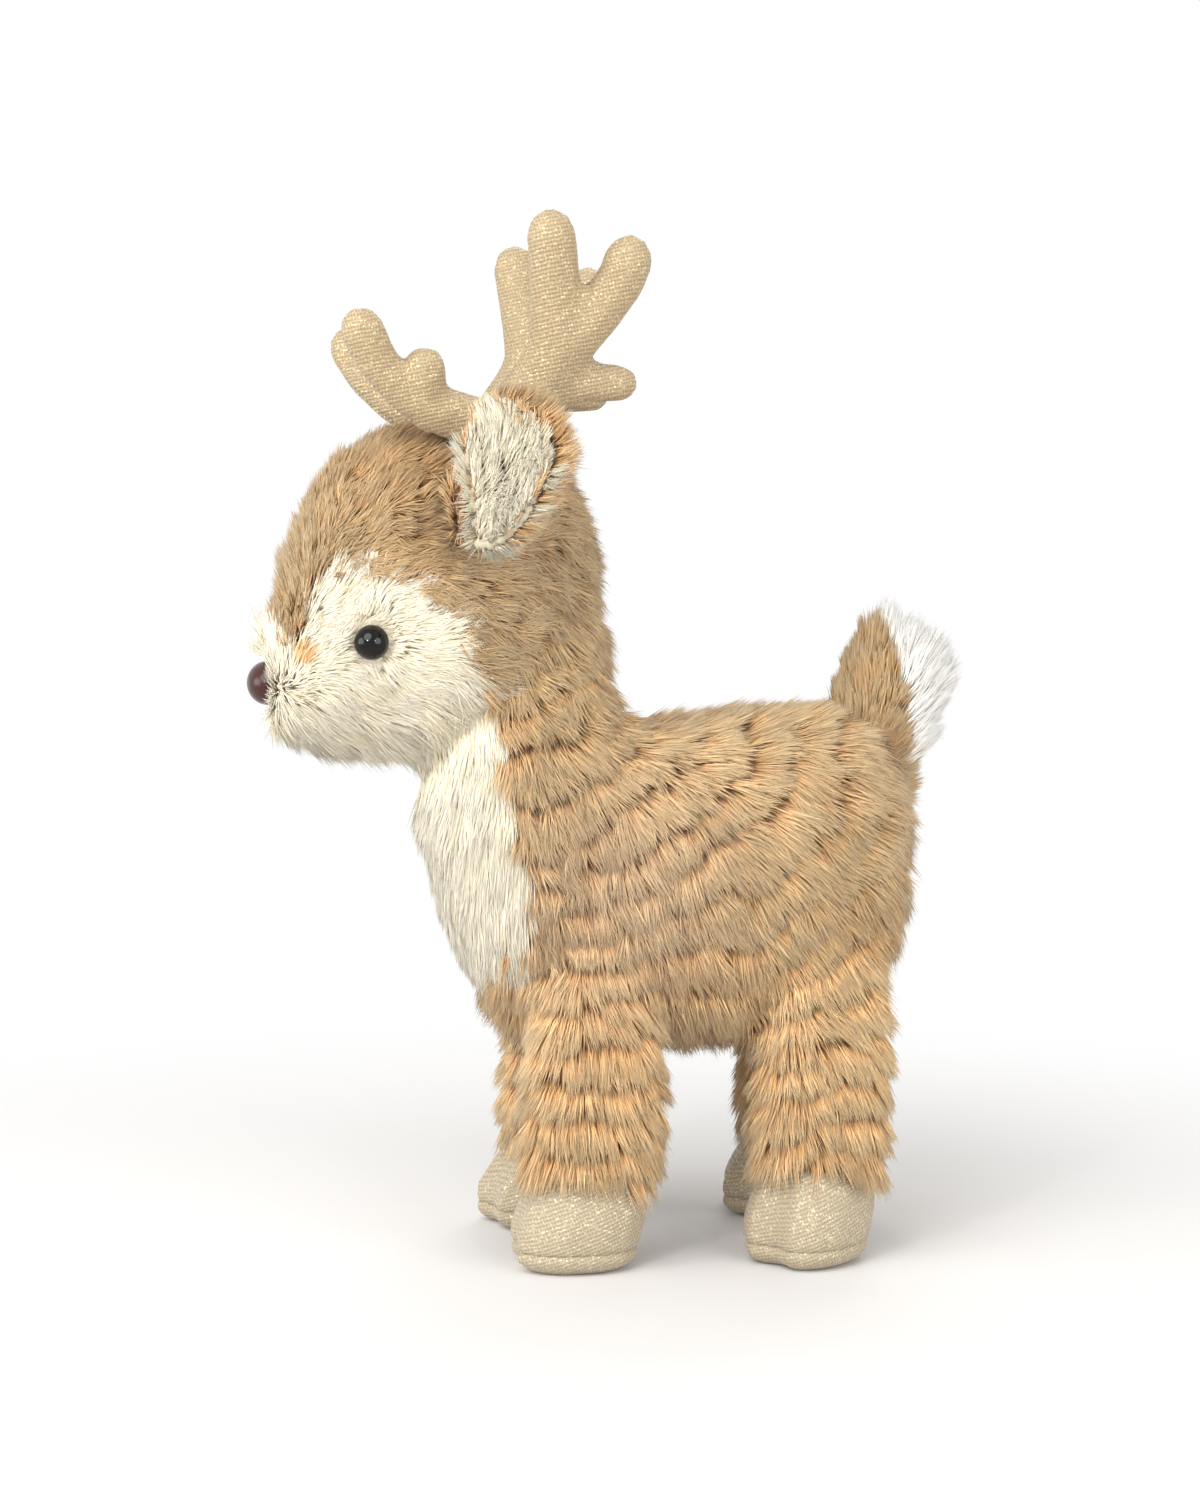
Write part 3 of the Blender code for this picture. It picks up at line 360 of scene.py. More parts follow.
# %% Panels of a skin
def nearest_nodes(places, nodes):
    """For each place, the number in the list of nodes of the one whose surface is nearest."""
    distance = np.full((len(nodes), len(places)), np.inf)
    for row, node in enumerate(nodes):
        data = frame["nodes"][node].data
        tree = BVHTree.FromPolygons([vertex.co for vertex in data.vertices],
                                    [tuple(face.vertices) for face in data.polygons])
        distance[row] = [tree.find_nearest(place)[3] for place in places.tolist()]
    return distance.argmin(axis=0)


def thin_sheet(points, normals, triangles, thickness):
    """A closed sheet under some triangles of a skin: the same points moved in by its thickness,
    and a strip of triangles round the rim."""
    used, numbered = np.unique(triangles, return_inverse=True)
    top = numbered.reshape(-1, 3)
    count = len(used)
    outline = sides_of(top)
    codes = np.sort(outline, axis=1) @ [count, 1]
    _, first, times = np.unique(codes, return_index=True, return_counts=True)
    a, b = outline[first[times == 1]].T
    rim = np.concatenate([np.stack([b, a, a + count], 1), np.stack([b, a + count, b + count], 1)])
    sheet = np.concatenate([points[used], points[used] - thickness * normals[used]])
    return sheet, np.concatenate([top, top[:, ::-1] + count, rim])


# %% [markdown]
# Real plush is never even. Smooth noise is a sum of a few plane waves in random directions:
# cheap, endless and the same on each run. Tufts come from a second kind of noise, where each
# point belongs to the nearest of many scattered seeds.

# %% Noise
HASH_STEPS = np.array([127.1, 311.7, 74.7])
HASH_SALT = 17.3
HASH_HEIGHT = 43758.5453


def waves(points, wavelength, seed, count=9):
    """Smooth noise, mostly from -1 to 1: sines along random directions, added and scaled."""
    rng = np.random.default_rng(seed)
    directions = unit(rng.normal(size=(count, 3))) * rng.uniform(0.7, 1.4, (count, 1))
    turns = 2 * np.pi * points @ directions.T / wavelength + rng.uniform(0, 2 * np.pi, count)
    return np.sin(turns).sum(axis=1) / math.sqrt(count)


def hashed(cells, salt):
    """A number from 0 to 1 for each row of whole numbers: what follows the point in a sine."""
    return np.mod(np.sin(cells @ HASH_STEPS + salt * HASH_SALT) * HASH_HEIGHT, 1)


def tufts(points, size):
    """For each point, its tuft's seed, how far off it is as a share of the size, and a number
    of the tuft's own: the nearest of one random seed in each cell of a grid."""
    home = np.floor(points / size)
    best = np.full(len(points), np.inf)
    centre, number = np.zeros_like(points), np.zeros(len(points))
    for step in np.ndindex(3, 3, 3):
        cell = home + np.array(step) - 1
        seed = (cell + np.stack([hashed(cell, salt) for salt in (1, 2, 3)], axis=1)) * size
        distance = ((seed - points) ** 2).sum(axis=1)
        nearer = distance < best
        best[nearer], centre[nearer] = distance[nearer], seed[nearer]
        number[nearer] = hashed(cell[nearer], 4)
    return centre, np.sqrt(best) / size, number


# %% [markdown]
# Plush is combed one way when it is sewn. The comb lines are given here as a few guides, each a
# place in the side view and a direction below level, towards the tail. A smooth height field is
# fitted to them by least squares, so that its slope follows the guides everywhere. Fur lies
# along the slope, and the tiers of the plush are contour lines, so they cross the fur squarely.

# %% Combing
BODY_GUIDES = (
    # x and z in millimetres, degrees below level
    (-30, 132, 78), (-30, 112, 84), (-28, 92, 88), (-22, 72, 90), (-16, 122, 70),
    (-12, 100, 78), (-8, 80, 84), (-4, 60, 88), (-10, 40, 90), (-8, 24, 90),
    (-18, 150, 62), (-6, 160, 45), (2, 148, 48), (0, 136, 30), (4, 122, 50),
    (6, 104, 64), (10, 86, 76), (12, 66, 84), (22, 137, 8), (22, 124, 30),
    (26, 108, 48), (30, 90, 62), (32, 70, 78), (46, 138, 5), (46, 124, 24),
    (50, 106, 44), (52, 88, 60), (54, 68, 80), (66, 132, 24), (70, 112, 50),
    (74, 92, 68), (74, 70, 84), (50, 44, 88), (54, 24, 88), (62, 44, 86),
)
HEAD_GUIDES = (
    (-84, 168, -62), (-80, 182, -58), (-70, 198, -40), (-54, 208, -14), (-34, 210, 12),
    (-14, 202, 40), (-4, 184, 66), (-4, 166, 70), (-70, 178, -48), (-62, 188, -34),
    (-48, 194, -8), (-48, 178, -6), (-34, 180, 18), (-22, 186, 36), (-24, 168, 38),
    (-14, 168, 52), (-18, 152, 44), (-26, 142, 50), (-30, 190, 10), (-12, 156, 60),
)
GUIDE_SCALE = 60.0
STEADINESS = 0.02


class Combing:
    """A height over the side view: a sum of powers of x and z, weighted so that its slope
    follows the guides."""

    def __init__(self, guides, degree):
        x, z, angle = np.array(guides, float).T
        self.middle = np.array([x.mean(), z.mean()])
        self.terms = [(i, k) for i in range(degree + 1) for k in range(degree + 1 - i) if i + k]
        _, in_x, in_z = self.powers(x, z)
        slopes = np.concatenate([np.cos(np.radians(angle)), -np.sin(np.radians(angle))])
        steady = STEADINESS * np.eye(len(self.terms))
        self.weights = np.linalg.lstsq(
            np.concatenate([in_x, in_z, steady]),
            np.concatenate([slopes, np.zeros(len(steady))]), rcond=None)[0]

    def powers(self, x, z):
        """Each product of powers of x and z, and its slopes in x and in z."""
        x, z = (x - self.middle[0]) / GUIDE_SCALE, (z - self.middle[1]) / GUIDE_SCALE
        value = [x ** i * z ** k for i, k in self.terms]
        in_x = [i * x ** max(i - 1, 0) * z ** k for i, k in self.terms]
        in_z = [k * x ** i * z ** max(k - 1, 0) for i, k in self.terms]
        return (np.stack(columns, axis=1) for columns in (value, in_x, in_z))

    def at(self, points):
        """The height in metres and the direction of the slope at each point."""
        value, in_x, in_z = self.powers(points[:, 0] / MM, points[:, 2] / MM)
        slope = np.stack([in_x @ self.weights, np.zeros(len(points)), in_z @ self.weights], 1)
        return value @ self.weights * GUIDE_SCALE * MM, slope


body_combing = Combing(BODY_GUIDES, 4)
head_combing = Combing(HEAD_GUIDES, 3)
print("combing terms:", len(body_combing.terms), "and", len(head_combing.terms))

# %% [markdown]
# The eyes and the nose are moulded domes on posts. Their seats are read from the frame now,
# because the fur on the face runs out from the nose and parts round the eyes.

# %% Seats of the eyes and the nose
DOME_HEIGHTS = {"eye_left": 4.4 * MM, "eye_right": 4.4 * MM, "nose": 5.2 * MM}
RIM_DEPTH = 0.4 * MM


def node_points(node):
    """The points of a CAD node, one in each row."""
    data = frame["nodes"][node].data
    places = np.empty(len(data.vertices) * 3)
    data.vertices.foreach_get("co", places)
    return places.reshape(-1, 3)


def button_seat(node):
    """The middle of a dome's flat back, the way it faces, and its far end's distance behind."""
    middles = [np.mean(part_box(name), axis=0) for name in (node, f"{node}_washer")]
    facing = unit(middles[0] - middles[1])
    places = node_points(node)
    depth = places @ facing
    back = depth.max() - DOME_HEIGHTS[node]
    rim = places[np.abs(depth - back) < RIM_DEPTH]
    seat = rim.mean(axis=0)
    return seat + (back - seat @ facing) * facing, facing, back - depth.min()


SEATS = {node: button_seat(node) for node in DOME_HEIGHTS}
for node, (seat, facing, reach) in SEATS.items():
    print(node, np.round(seat / MM, 1), "faces", np.round(facing, 2), "post", round(reach / MM, 1))

# %% [markdown]
# A strand of fur is a slim closed needle: a point at its root, three points round its middle and
# a point at its tip. Six triangles are enough, because a strand is only a few pixels long, and a
# closed strand stays whole in the exported mesh. A whole coat is worked out in one go.

# %% Strands
MIDDLE_SHARE = 0.42
FLATNESS = 0.65
NUDGE = np.array([0.013, 0.007, 0.011])
NEEDLE_FACES = np.array([[2, 1, 0], [3, 2, 0], [1, 3, 0], [1, 2, 4], [2, 3, 4], [3, 1, 4]])


def needles(root, middle, tip, width, roll):
    """Five points for each strand. The ring round its middle is an ellipse across the strand:
    middle + half the width times (cos of the roll along one side, sin of it along the other).
    A nudge gives a straight strand a side too."""
    axis = unit(tip - root)
    side = unit(np.cross(axis, unit(middle - root) + NUDGE))
    other = np.cross(axis, side)
    ring = []
    for turn in (0, 2 * np.pi / 3, 4 * np.pi / 3):
        a, b = np.cos(roll + turn)[:, None], np.sin(roll + turn)[:, None]
        ring.append(middle + width[:, None] / 2 * (a * side + FLATNESS * b * other))
    points = np.stack([root, *ring, tip], axis=1).reshape(-1, 3)
    starts = 5 * np.arange(len(root))[:, None, None]
    return points, (starts + NEEDLE_FACES).reshape(-1, 3)


# %% Arrays to a mesh object
def mesh_piece(name, points, triangles, material, tones=None, normals=None):
    """A smooth-shaded mesh object of triangles, its colours in the attribute named tone. It is
    shaded with its own normals, or with the given ones."""
    data = bpy.data.meshes.new(name)
    data.vertices.add(len(points))
    data.vertices.foreach_set("co", points.astype(np.float32).ravel())
    data.loops.add(3 * len(triangles))
    data.loops.foreach_set("vertex_index", triangles.astype(np.int32).ravel())
    data.polygons.add(len(triangles))
    data.polygons.foreach_set("loop_start", np.arange(0, 3 * len(triangles), 3, dtype=np.int32))
    data.update(calc_edges=True)
    data.shade_smooth()
    if tones is not None:
        layer = data.color_attributes.new("tone", "FLOAT_COLOR", "POINT")
        colours = np.column_stack([np.clip(tones, 0, 1), np.ones(len(tones))])
        layer.data.foreach_set("color", colours.astype(np.float32).ravel())
    if normals is not None:
        data.normals_split_custom_set_from_vertices(normals)
    data.materials.append(material)
    piece = bpy.data.objects.new(name, data)
    bpy.context.scene.collection.objects.link(piece)
    return piece


# %% [markdown]
# The plush material takes its colour from the strands' own attribute. Fibre is matt with a
# faint sheen. Light and dark come from real strands that shade each other, and also from
# painted shade in the colour of the roots and of the edges of tufts. A share of the cloth's own
# normal in the shading of each strand makes the whole coat look soft.

# %% Plush material
def plush_material(name, roughness, sheen):
    """Matt fibre in the colour of the attribute named tone."""
    made, add = new_material(name)
    tone = add("Attribute", attribute_name="tone")
    fibre = add("BsdfPrincipled", Base_Color=tone.outputs["Color"], Roughness=roughness,
                Sheen_Weight=sheen, Sheen_Roughness=0.5, Specular_IOR_Level=0.25)
    add("OutputMaterial", Surface=fibre.outputs[0])
    return made


tan_fibre = plush_material("tan_fibre", 0.72, 0.12)
pale_fibre = plush_material("pale_fibre", 0.80, 0.08)
print("materials", tan_fibre.name, "and", pale_fibre.name)

# %% [markdown]
# Each kind of plush has its own style, a row of the table below. Its columns are:
#
# - length and width of a strand and size of a tuft, in millimetres
# - rise and run: how steeply a strand's lower and upper part stand off the cloth, in degrees
# - density: how many strands grow on a square millimetre
# - gather: how far the tips of a tuft are drawn to its middle, where 1 is all the way
# - tier: how strongly roots are drawn back to the start of their tier
# - wild: how far strands turn aside, in degrees
# - knot: how far the tips of a lock, which is larger than a tuft, are drawn to its middle
# - soft: the share of the cloth's normal in the shading
# - tint and streak: how bright the fur is, and how much that varies from strand to strand

# %% Styles
COLUMNS = ("length", "width", "tuft", "rise", "run", "density", "gather", "tier", "wild", "knot",
           "soft", "tint", "streak", "palette")
ROWS = {
    "torso": (12.5, 0.44, 1.6, 27, 19, 3.3, 0.45, 0.95, 12, 0.26, 0.3, 0.84, 0.15, "tan_plush"),
    "leg": (11.5, 0.44, 1.5, 22, 22, 3.2, 0.45, 0.9, 9, 0.22, 0.3, 0.95, 0.15, "tan_plush"),
    "neck": (11.5, 0.44, 2.0, 31, 25, 3.7, 0.5, 0.85, 15, 0.24, 0.3, 0.79, 0.15, "tan_plush"),
    "head": (9.5, 0.44, 2.0, 40, 28, 4.35, 0.42, 0.25, 22, 0.30, 0.3, 0.61, 0.15, "tan_plush"),
    "face": (9.0, 0.42, 2.4, 31, 18, 5.9, 0.36, 0.05, 17, 0.17, 0.45, 0.98, 0.02, "cream_plush"),
    "bib": (13.0, 0.42, 2.2, 18, 10, 4.05, 0.25, 0.15, 7, 0.08, 0.55, 0.96, 0.02, "bib_plush"),
    "ear_outer": (6.5, 0.44, 2.8, 28, 18, 5.0, 0.5, 0.1, 16, 0.25, 0.2, 0.74, 0.13, "tan_plush"),
    "ear_lining": (9.6, 0.40, 2.9, 32, 20, 6.2, 0.45, 0, 20, 0.26, 0.35, 0.78, 0.02, "ear_plush"),
    "tail_top": (7.5, 0.42, 1.8, 19, 13, 5.2, 0.45, 0.4, 8, 0.15, 0.3, 0.60, 0.13, "tail_plush"),
    "tail_underside": (8.6, 0.40, 3.0, 26, 14, 6.0, 0.42, 0, 12, 0.25, 0.4, 0.86, 0.02,
                       "white_plush"),
}
STYLES = {kind: dict(zip(COLUMNS, row)) for kind, row in ROWS.items()}
TIER = 9.6 * MM
TIER_BAND = 0.22
# the bounds of a tier wander: share of a tier, wavelength and seed of smooth noise, then share of
# a tier and size of tufts
TIER_WAVES = ((0.22, 34 * MM, 61), (0.08, 9 * MM, 62))
TIER_BREAKS = ((0.40, 17 * MM), (0.34, 8 * MM), (0.12, 2.6 * MM))
LOCK = 5.0 * MM
BACKING = 0.8 * MM
# the backing cloth is its root colour times this: painted shade in the gaps between tufts
PAINTED_GAP_SHADE = 0.7
REACH_SHARE = 0.6
print(len(STYLES), "styles")

# %% [markdown]
# A coat is grown in this order. Roots are scattered evenly, then drawn back to the start of
# their tier, so each tier is a fringe over the next one's roots, which lie in its shadow and are
# painted dark as shade too. Length, lift and lean vary with the tuft and a little by themselves.
# Last, the tips of a tuft are drawn together.

# %% Roots of a coat
def scattered(points, normals, triangles, density, rng):
    """Roots spread evenly over some triangles, with a normal at each: random shares of the
    corners, folded back where they leave the triangle."""
    area = np.linalg.norm(crossed(points, triangles), axis=1) / 2
    count = int(area.sum() / MM ** 2 * density)
    chosen = triangles[rng.choice(len(triangles), count, p=area / area.sum())]
    a, b = rng.random((2, count))
    fold = a + b > 1
    a[fold], b[fold] = 1 - a[fold], 1 - b[fold]
    shares = np.stack([1 - a - b, a, b], axis=1)[:, :, None]
    return (points[chosen] * shares).sum(axis=1), unit((normals[chosen] * shares).sum(axis=1))


def tiered(root, lie, height, strength, rng):
    """Roots drawn back along the lie of the fur to the start of their tier. A tier reaches from
    one contour line of the height to the next, and wanders with noise."""
    for share, wavelength, seed in TIER_WAVES:
        height = height + share * TIER * waves(root, wavelength, seed)
    for share, size in TIER_BREAKS:
        height = height + share * TIER * tufts(root, size)[2]
    back = np.mod(height / TIER, 1) * (1 - TIER_BAND) * TIER * strength
    return root - lie * (back * rng.uniform(0.74, 1.02, len(root)))[:, None]


# %% Directions and blends
def across(vectors, normal):
    """Vectors with their part along the normal taken out."""
    return vectors - (vectors * normal).sum(axis=1, keepdims=True) * normal


def flattened(direction, normal):
    """A direction laid flat on the cloth, of unit length."""
    return unit(across(direction, normal))


def turned(start, towards, angle):
    """A direction turned by an angle: cos of it along the start, sin of it towards the other."""
    return start * np.cos(angle)[:, None] + towards * np.sin(angle)[:, None]


def smooth(value, low, high):
    """0 below low, 1 above high, and an even rise between: t squared times (3 - 2t)."""
    t = np.clip((value - low) / (high - low), 0, 1)
    return t * t * (3 - 2 * t)


def blended(a, b, share):
    """From a to b by a share, which is one number or one for each row."""
    return a + (b - a) * np.reshape(share, (-1, 1))


# %% Grow a coat
def grow(points, normals, triangles, style, comb, paint, shape, seed):
    """Points, triangles, colours and normals of the fur on some triangles of a skin. A tuft's
    number, times a whole number and without its whole part, is one more number of its own."""
    rng = np.random.default_rng(seed)
    root, normal = scattered(points, normals, triangles, style["density"], rng)
    count = len(root)
    height, lie = comb(root, normal)
    root = tiered(root, lie, height, style["tier"], rng)
    centre, off, number = tufts(root, style["tuft"] * MM)
    knot, _, lock = tufts(root, LOCK)
    turn = np.radians(style["wild"] * (1.5 * (number * 7 % 1) - 0.75 + rng.normal(0, 0.45, count)
                                      + 1.1 * waves(root, 12 * MM, seed + 2)))
    lie = turned(lie, np.cross(normal, lie), turn)
    share, fluff = shape(root, normal)
    length = (style["length"] * MM * (0.84 + 0.14 * (number * 13 % 1) + 0.16 * lock)
              * rng.uniform(0.82, 1.05, count) * share)
    lean = (1.07 + 0.32 * (number * 29 % 1 - 0.5) + 1.89 * style["knot"] * (lock * 7 % 1 - 0.5)
            ) * rng.uniform(0.8, 1.2, count) * fluff
    first = turned(lie, normal, np.radians(style["rise"]) * lean)
    last = turned(lie, normal, np.radians(style["run"]) * lean)
    sway = np.cross(normal, lie) * (rng.normal(0, 0.035, count) * length)[:, None]
    middle = root + MIDDLE_SHARE * length[:, None] * first + sway
    tip = middle + (1 - MIDDLE_SHARE) * length[:, None] * last - sway
    gather = style["gather"] * across(centre - root, normal)
    tip = tip + gather + style["knot"] * across(knot - root, normal)
    middle = middle + 0.4 * gather
    width = style["width"] * MM * rng.uniform(0.7, 1.3, count) * np.minimum(
        1, 0.5 + length / (10 * MM))
    strands, faces = needles(root, middle, tip, width, rng.uniform(0, 2 * np.pi, count))
    # the root colour is painted shade for the shadow deep in the pile
    shaded_root, body, end = map(linear, PALETTES[style["palette"]])
    shade = style["tint"] * (1 + 0.12 * (number * 17 % 1 - 0.5)
                             + rng.normal(0, style["streak"], count))[:, None]
    seen = blended(middle, tip, 0.5)
    # each strand's root point takes that painted shade
    low = np.tile(shaded_root, (count, 1))
    # strands towards a tuft's edge take up to 0.4 of the root colour: painted shade between tufts
    ring = paint(seen, blended(body, shaded_root, 0.4 * smooth(off, 0.35, 0.75)) * shade)
    tones = np.stack([low, ring, ring, ring, paint(seen, end * shade)], axis=1).reshape(-1, 3)
    own = normals_of(strands, faces)
    facing = unit(blended(own, np.repeat(normal, 5, axis=0), style["soft"]))
    return strands, faces, tones, facing


# %% [markdown]
# One piece is a closed backing cloth with its fur on it. The cloth takes the colour of the
# roots, darkened further as painted shade, so that a gap between tufts looks deep and not bare.

# %% Dress a panel
SEED_STEP = 10
totals = {"strands": 0, "triangles": 0}


def even(root, normal):
    """Fur as long and as high everywhere as its style says: both shares are 1."""
    return 1.0, 1.0


def dress(node, skin, cloth, fur, style, comb, seed, paint, shape):
    """The plush piece that stands for one CAD panel: cloth and fur are triangles of the skin."""
    points, normals = skin
    style = STYLES[style]
    sheet, sheet_faces = thin_sheet(points, normals, cloth, BACKING)
    strands, faces, tones, lit = grow(points, normals, fur, style, comb, paint, shape, seed)
    # painted shade: the backing cloth is the palette's root colour, darkened further, so gaps look deep
    ground = np.tile(PAINTED_GAP_SHADE * linear(PALETTES[style["palette"]][0]), (len(sheet), 1))
    slot = SAME_CLOTH.get(style["palette"], style["palette"])
    piece = mesh_piece(
        node.replace("_panel", "") + "_plush", np.concatenate([sheet, strands]),
        np.concatenate([sheet_faces, faces + len(sheet)]),
        tan_fibre if slot == "tan_plush" else pale_fibre,
        np.concatenate([ground, tones]), np.concatenate([normals_of(sheet, sheet_faces), lit]))
    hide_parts(node)
    totals["strands"] += len(faces) // 6
    totals["triangles"] += len(faces) + len(sheet_faces)
    print(f"{piece.name}: {len(faces) // 6} strands, {len(faces) + len(sheet_faces)} triangles")
    return piece


# %% [markdown]
# The body is one skin round torso, neck, head and legs. It lies a pile's depth inside the
# solids, so that the tips of the fur come out where the solids end.

# %% Body skin
BODY_VOXEL = 2.2 * MM
BODY_PILE = 4.6 * MM
BODY_ROUNDS = 12
LEGS = [f"leg_{end}_{side}_panel" for end in ("front", "rear") for side in SIDES]
BODY_PANELS = [f"{part}_{side}_panel" for part in ("torso", "neck", "head", "face")
               for side in SIDES] + LEGS + ["chest_bib"]
HOOF_NODES = [name for name in frame["nodes"] if name.startswith("hoof_")]
CORES = [name for name in frame["nodes"] if name.endswith("_stuffing")
         and name.split("_")[0] in ("torso", "neck", "head", "leg")]

body_points, body_faces = wrapped(BODY_PANELS + CORES + HOOF_NODES, BODY_VOXEL)
body_points = relaxed(body_points, body_faces, BODY_ROUNDS)
body_points = inset(body_points, body_faces, BODY_PILE)
body_normals = normals_of(body_points, body_faces)
print("body skin:", len(body_faces), "triangles")

# %% [markdown]
# How the fur lies depends on the panel. On the face it runs out from the nose and is pulled
# down over the cheeks, on the bib it hangs straight, and elsewhere it follows the combing.

# %% Lie of the body's fur
EYES = ("eye_left", "eye_right")
EYE_PARTING = 6.5 * MM
EYE_PUSH = 1.8
FACE_SOURCE = SEATS["nose"][0] + np.array([-10, 0, -7]) * MM
CHEEK_PULL = 0.75
CORNER = np.array([-79, 12, 155]) * MM
CORNER_PULL = 2
CORNER_LIE = unit(np.array([0.5, 0, 0.85]))
BIB_LIE = np.array([0.02, 0, -1.0])


def near(root, place, radius):
    """A bell of the distance from a place: 1 there, 0.37 at the radius."""
    return np.exp(-((root - place) ** 2).sum(axis=1) / radius ** 2)


def one_side(root):
    """The places with the deer's left half laid over its right: y without its sign."""
    return np.column_stack([root[:, 0], np.abs(root[:, 1]), root[:, 2]])


def face_comb(root, normal):
    """Away from the nose, down over the cheeks, up at the corner by the nose, and away from the
    eyes, each weighted by a bell of the distance or an even rise."""
    away = root - FACE_SOURCE
    low = smooth(-root[:, 2], -160 * MM, -140 * MM) * smooth(away[:, 0], 0, 30 * MM)
    corner = near(one_side(root), CORNER, 8 * MM)
    lie = unit(away) - CHEEK_PULL * low[:, None] * UP + CORNER_PULL * corner[:, None] * CORNER_LIE
    for eye in EYES:
        place = SEATS[eye][0]
        lie = lie + EYE_PUSH * near(root, place, EYE_PARTING)[:, None] * unit(root - place)
    return np.linalg.norm(away, axis=1), flattened(lie, normal)


def bib_comb(root, normal):
    """Straight down."""
    return -root[:, 2], flattened(BIB_LIE, normal)


def along(combing):
    """A comb that follows the slope of a height field."""
    def comb(root, normal):
        height, slope = combing.at(root)
        return height, flattened(slope, normal)
    return comb


COMBS = {"face": face_comb, "bib": bib_comb, "head": along(head_combing)}
body_comb = along(body_combing)


# %% Length of the body's fur
BRIDGE = SEATS["nose"][0] + np.array([7, 0, 12]) * MM
CHEEK = np.array([-38, 24, 142]) * MM


def head_shape(root, normal, bridge_length=-0.3, bridge_fluff=-0.2):
    """Short, flat fur behind the nose, round the eyes and on the forehead. On the chin it stands
    up, and on the cheeks and the chin it is longer."""
    nose = SEATS["nose"][0]
    bridge = near(root, BRIDGE, 9 * MM)
    cheek = near(one_side(root), CHEEK, 11 * MM)
    chin = smooth(-root[:, 2], -141 * MM, -131 * MM)
    brow = smooth(root[:, 2], 168 * MM, 180 * MM) * smooth(-root[:, 0], 40 * MM, 60 * MM)
    share = (1 - 0.5 * near(root, nose, 7.5 * MM)) * (
        1 + 0.35 * chin + bridge_length * bridge + 0.45 * cheek - 0.12 * brow)
    fluff = (1 - 0.55 * near(root, nose, 11 * MM) + bridge_fluff * bridge + 0.8 * chin
             - 0.2 * brow + 0.15 * cheek)
    for eye in EYES:
        close = near(root, SEATS[eye][0], 8.5 * MM)
        share = share * (1 - 0.55 * close)
        fluff = fluff * (1 - 0.35 * close)
    return share, fluff


def face_shape(root, normal):
    """The same on the cream, but tall above the nose, where it stands in front of the tan."""
    return head_shape(root, normal, 0.5, 1.0)


def body_shape(root, normal):
    """Fur that hangs off what faces down, such as the belly, and flares at the hems of the
    legs."""
    below = smooth(-normal[:, 2], 0.35, 0.85) * smooth(root[:, 2], 48 * MM, 56 * MM)
    hem = smooth(-root[:, 2], -31 * MM, -25 * MM)
    return 1 - 0.15 * below + 0.08 * hem, 1 + 1.3 * below + 0.25 * hem


SHAPES = {"face": face_shape, "head": head_shape}


# %% Colour of the body's fur
SHOULDER = np.array([2, 92]) * MM
RUMP = np.array([64, 104]) * MM
SPOT = np.array([-76.6, 152.2]) * MM
SPOT_RADIUS = 2.7 * MM
YELLOWING = np.array([0.1, 0.3, 1])


def tan_paint(seen, tone):
    """Golden on top of the head and along the ridges, greyer on the shoulder."""
    golden = 0.35 * smooth(seen[:, 2], 176 * MM, 200 * MM) + 0.30 * smooth(
        waves(seen, 34 * MM, 71), 0.2, 1.2)
    beside = seen[:, [0, 2]]
    rump = near(beside, RUMP, 30 * MM)[:, None]
    tone = blended(tone, AMBER, golden * 0.45) * (1 - 0.10 * rump)
    tone = blended(tone, DUSK, 0.4 * near(beside, SHOULDER, 28 * MM))
    return tone * (1 + 0.05 * waves(seen, 18 * MM, 72))[:, None]


def cream_paint(seen, tone):
    """Cream with a faint yellow shade, and one amber spot between the eye and the nose."""
    off = np.linalg.norm(seen[:, [0, 2]] - SPOT, axis=1)
    tone = blended(tone, HONEY, 0.75 * smooth(-off, -1.5 * SPOT_RADIUS, -0.6 * SPOT_RADIUS))
    yellow = 0.10 * smooth(waves(seen, 9 * MM, 73), 0.3, 1.3)[:, None]
    return tone * (1 - yellow * YELLOWING)


# %% Panels of the body
def kind_of(node):
    """The style of a panel's fur. Under a hoof's knit it is taken as a leg's."""
    return node.split("_")[0].replace("hoof", "leg").replace("chest", "bib")


cuts = BODY_PANELS + HOOF_NODES
kinds = np.array([kind_of(node) for node in cuts])
centres = body_points[body_faces].mean(axis=1)
facing = unit(body_normals[body_faces].sum(axis=1))
surface = centres + facing * BODY_PILE


def tips_over(labels):
    """The panel that a tip comes to lie over, if each triangle's fur is of the given panel."""
    ahead = np.zeros_like(centres)
    for kind in np.unique(kinds[labels]):
        here = kinds[labels] == kind
        lie = COMBS.get(kind, body_comb)(centres[here], facing[here])[1]
        ahead[here] = lie * STYLES[kind]["length"] * MM * REACH_SHARE
    return nearest_nodes(surface + ahead, cuts)


panel_here = nearest_nodes(surface, cuts)
panel_ahead = tips_over(panel_here)
agreed = kinds[tips_over(panel_ahead)] == kinds[panel_ahead]
panel_fur = np.where(agreed, panel_ahead, panel_here)
print({node: int((panel_fur == number).sum()) for number, node in enumerate(cuts)})

# %% [markdown]
# Every panel of the body is now dressed. Its cloth has the panel's own outline, and its fur is
# rooted a little further back, so that the tips end on the outline that the panel has.

# %% Dress the body
BODY_SEED = 100

for number, node in enumerate(BODY_PANELS):
    kind = kind_of(node)
    piece = dress(
        node, (body_points, body_normals), body_faces[panel_here == number],
        body_faces[panel_fur == number], kind, COMBS.get(kind, body_comb),
        BODY_SEED + SEED_STEP * number,
        cream_paint if kind in ("face", "bib") else tan_paint, SHAPES.get(kind, body_shape))
    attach(piece, "body")

# %% [markdown]
# An ear is two layers sewn together round the rim: tan plush outside and long white plush in
# its hollow. Its fur runs out from where the ear is sewn on.

# %% Two layers on one skin
RIM_SHARE = 0.78
RIM_REACH = 8 * MM
LAYER_ROUNDS = 8


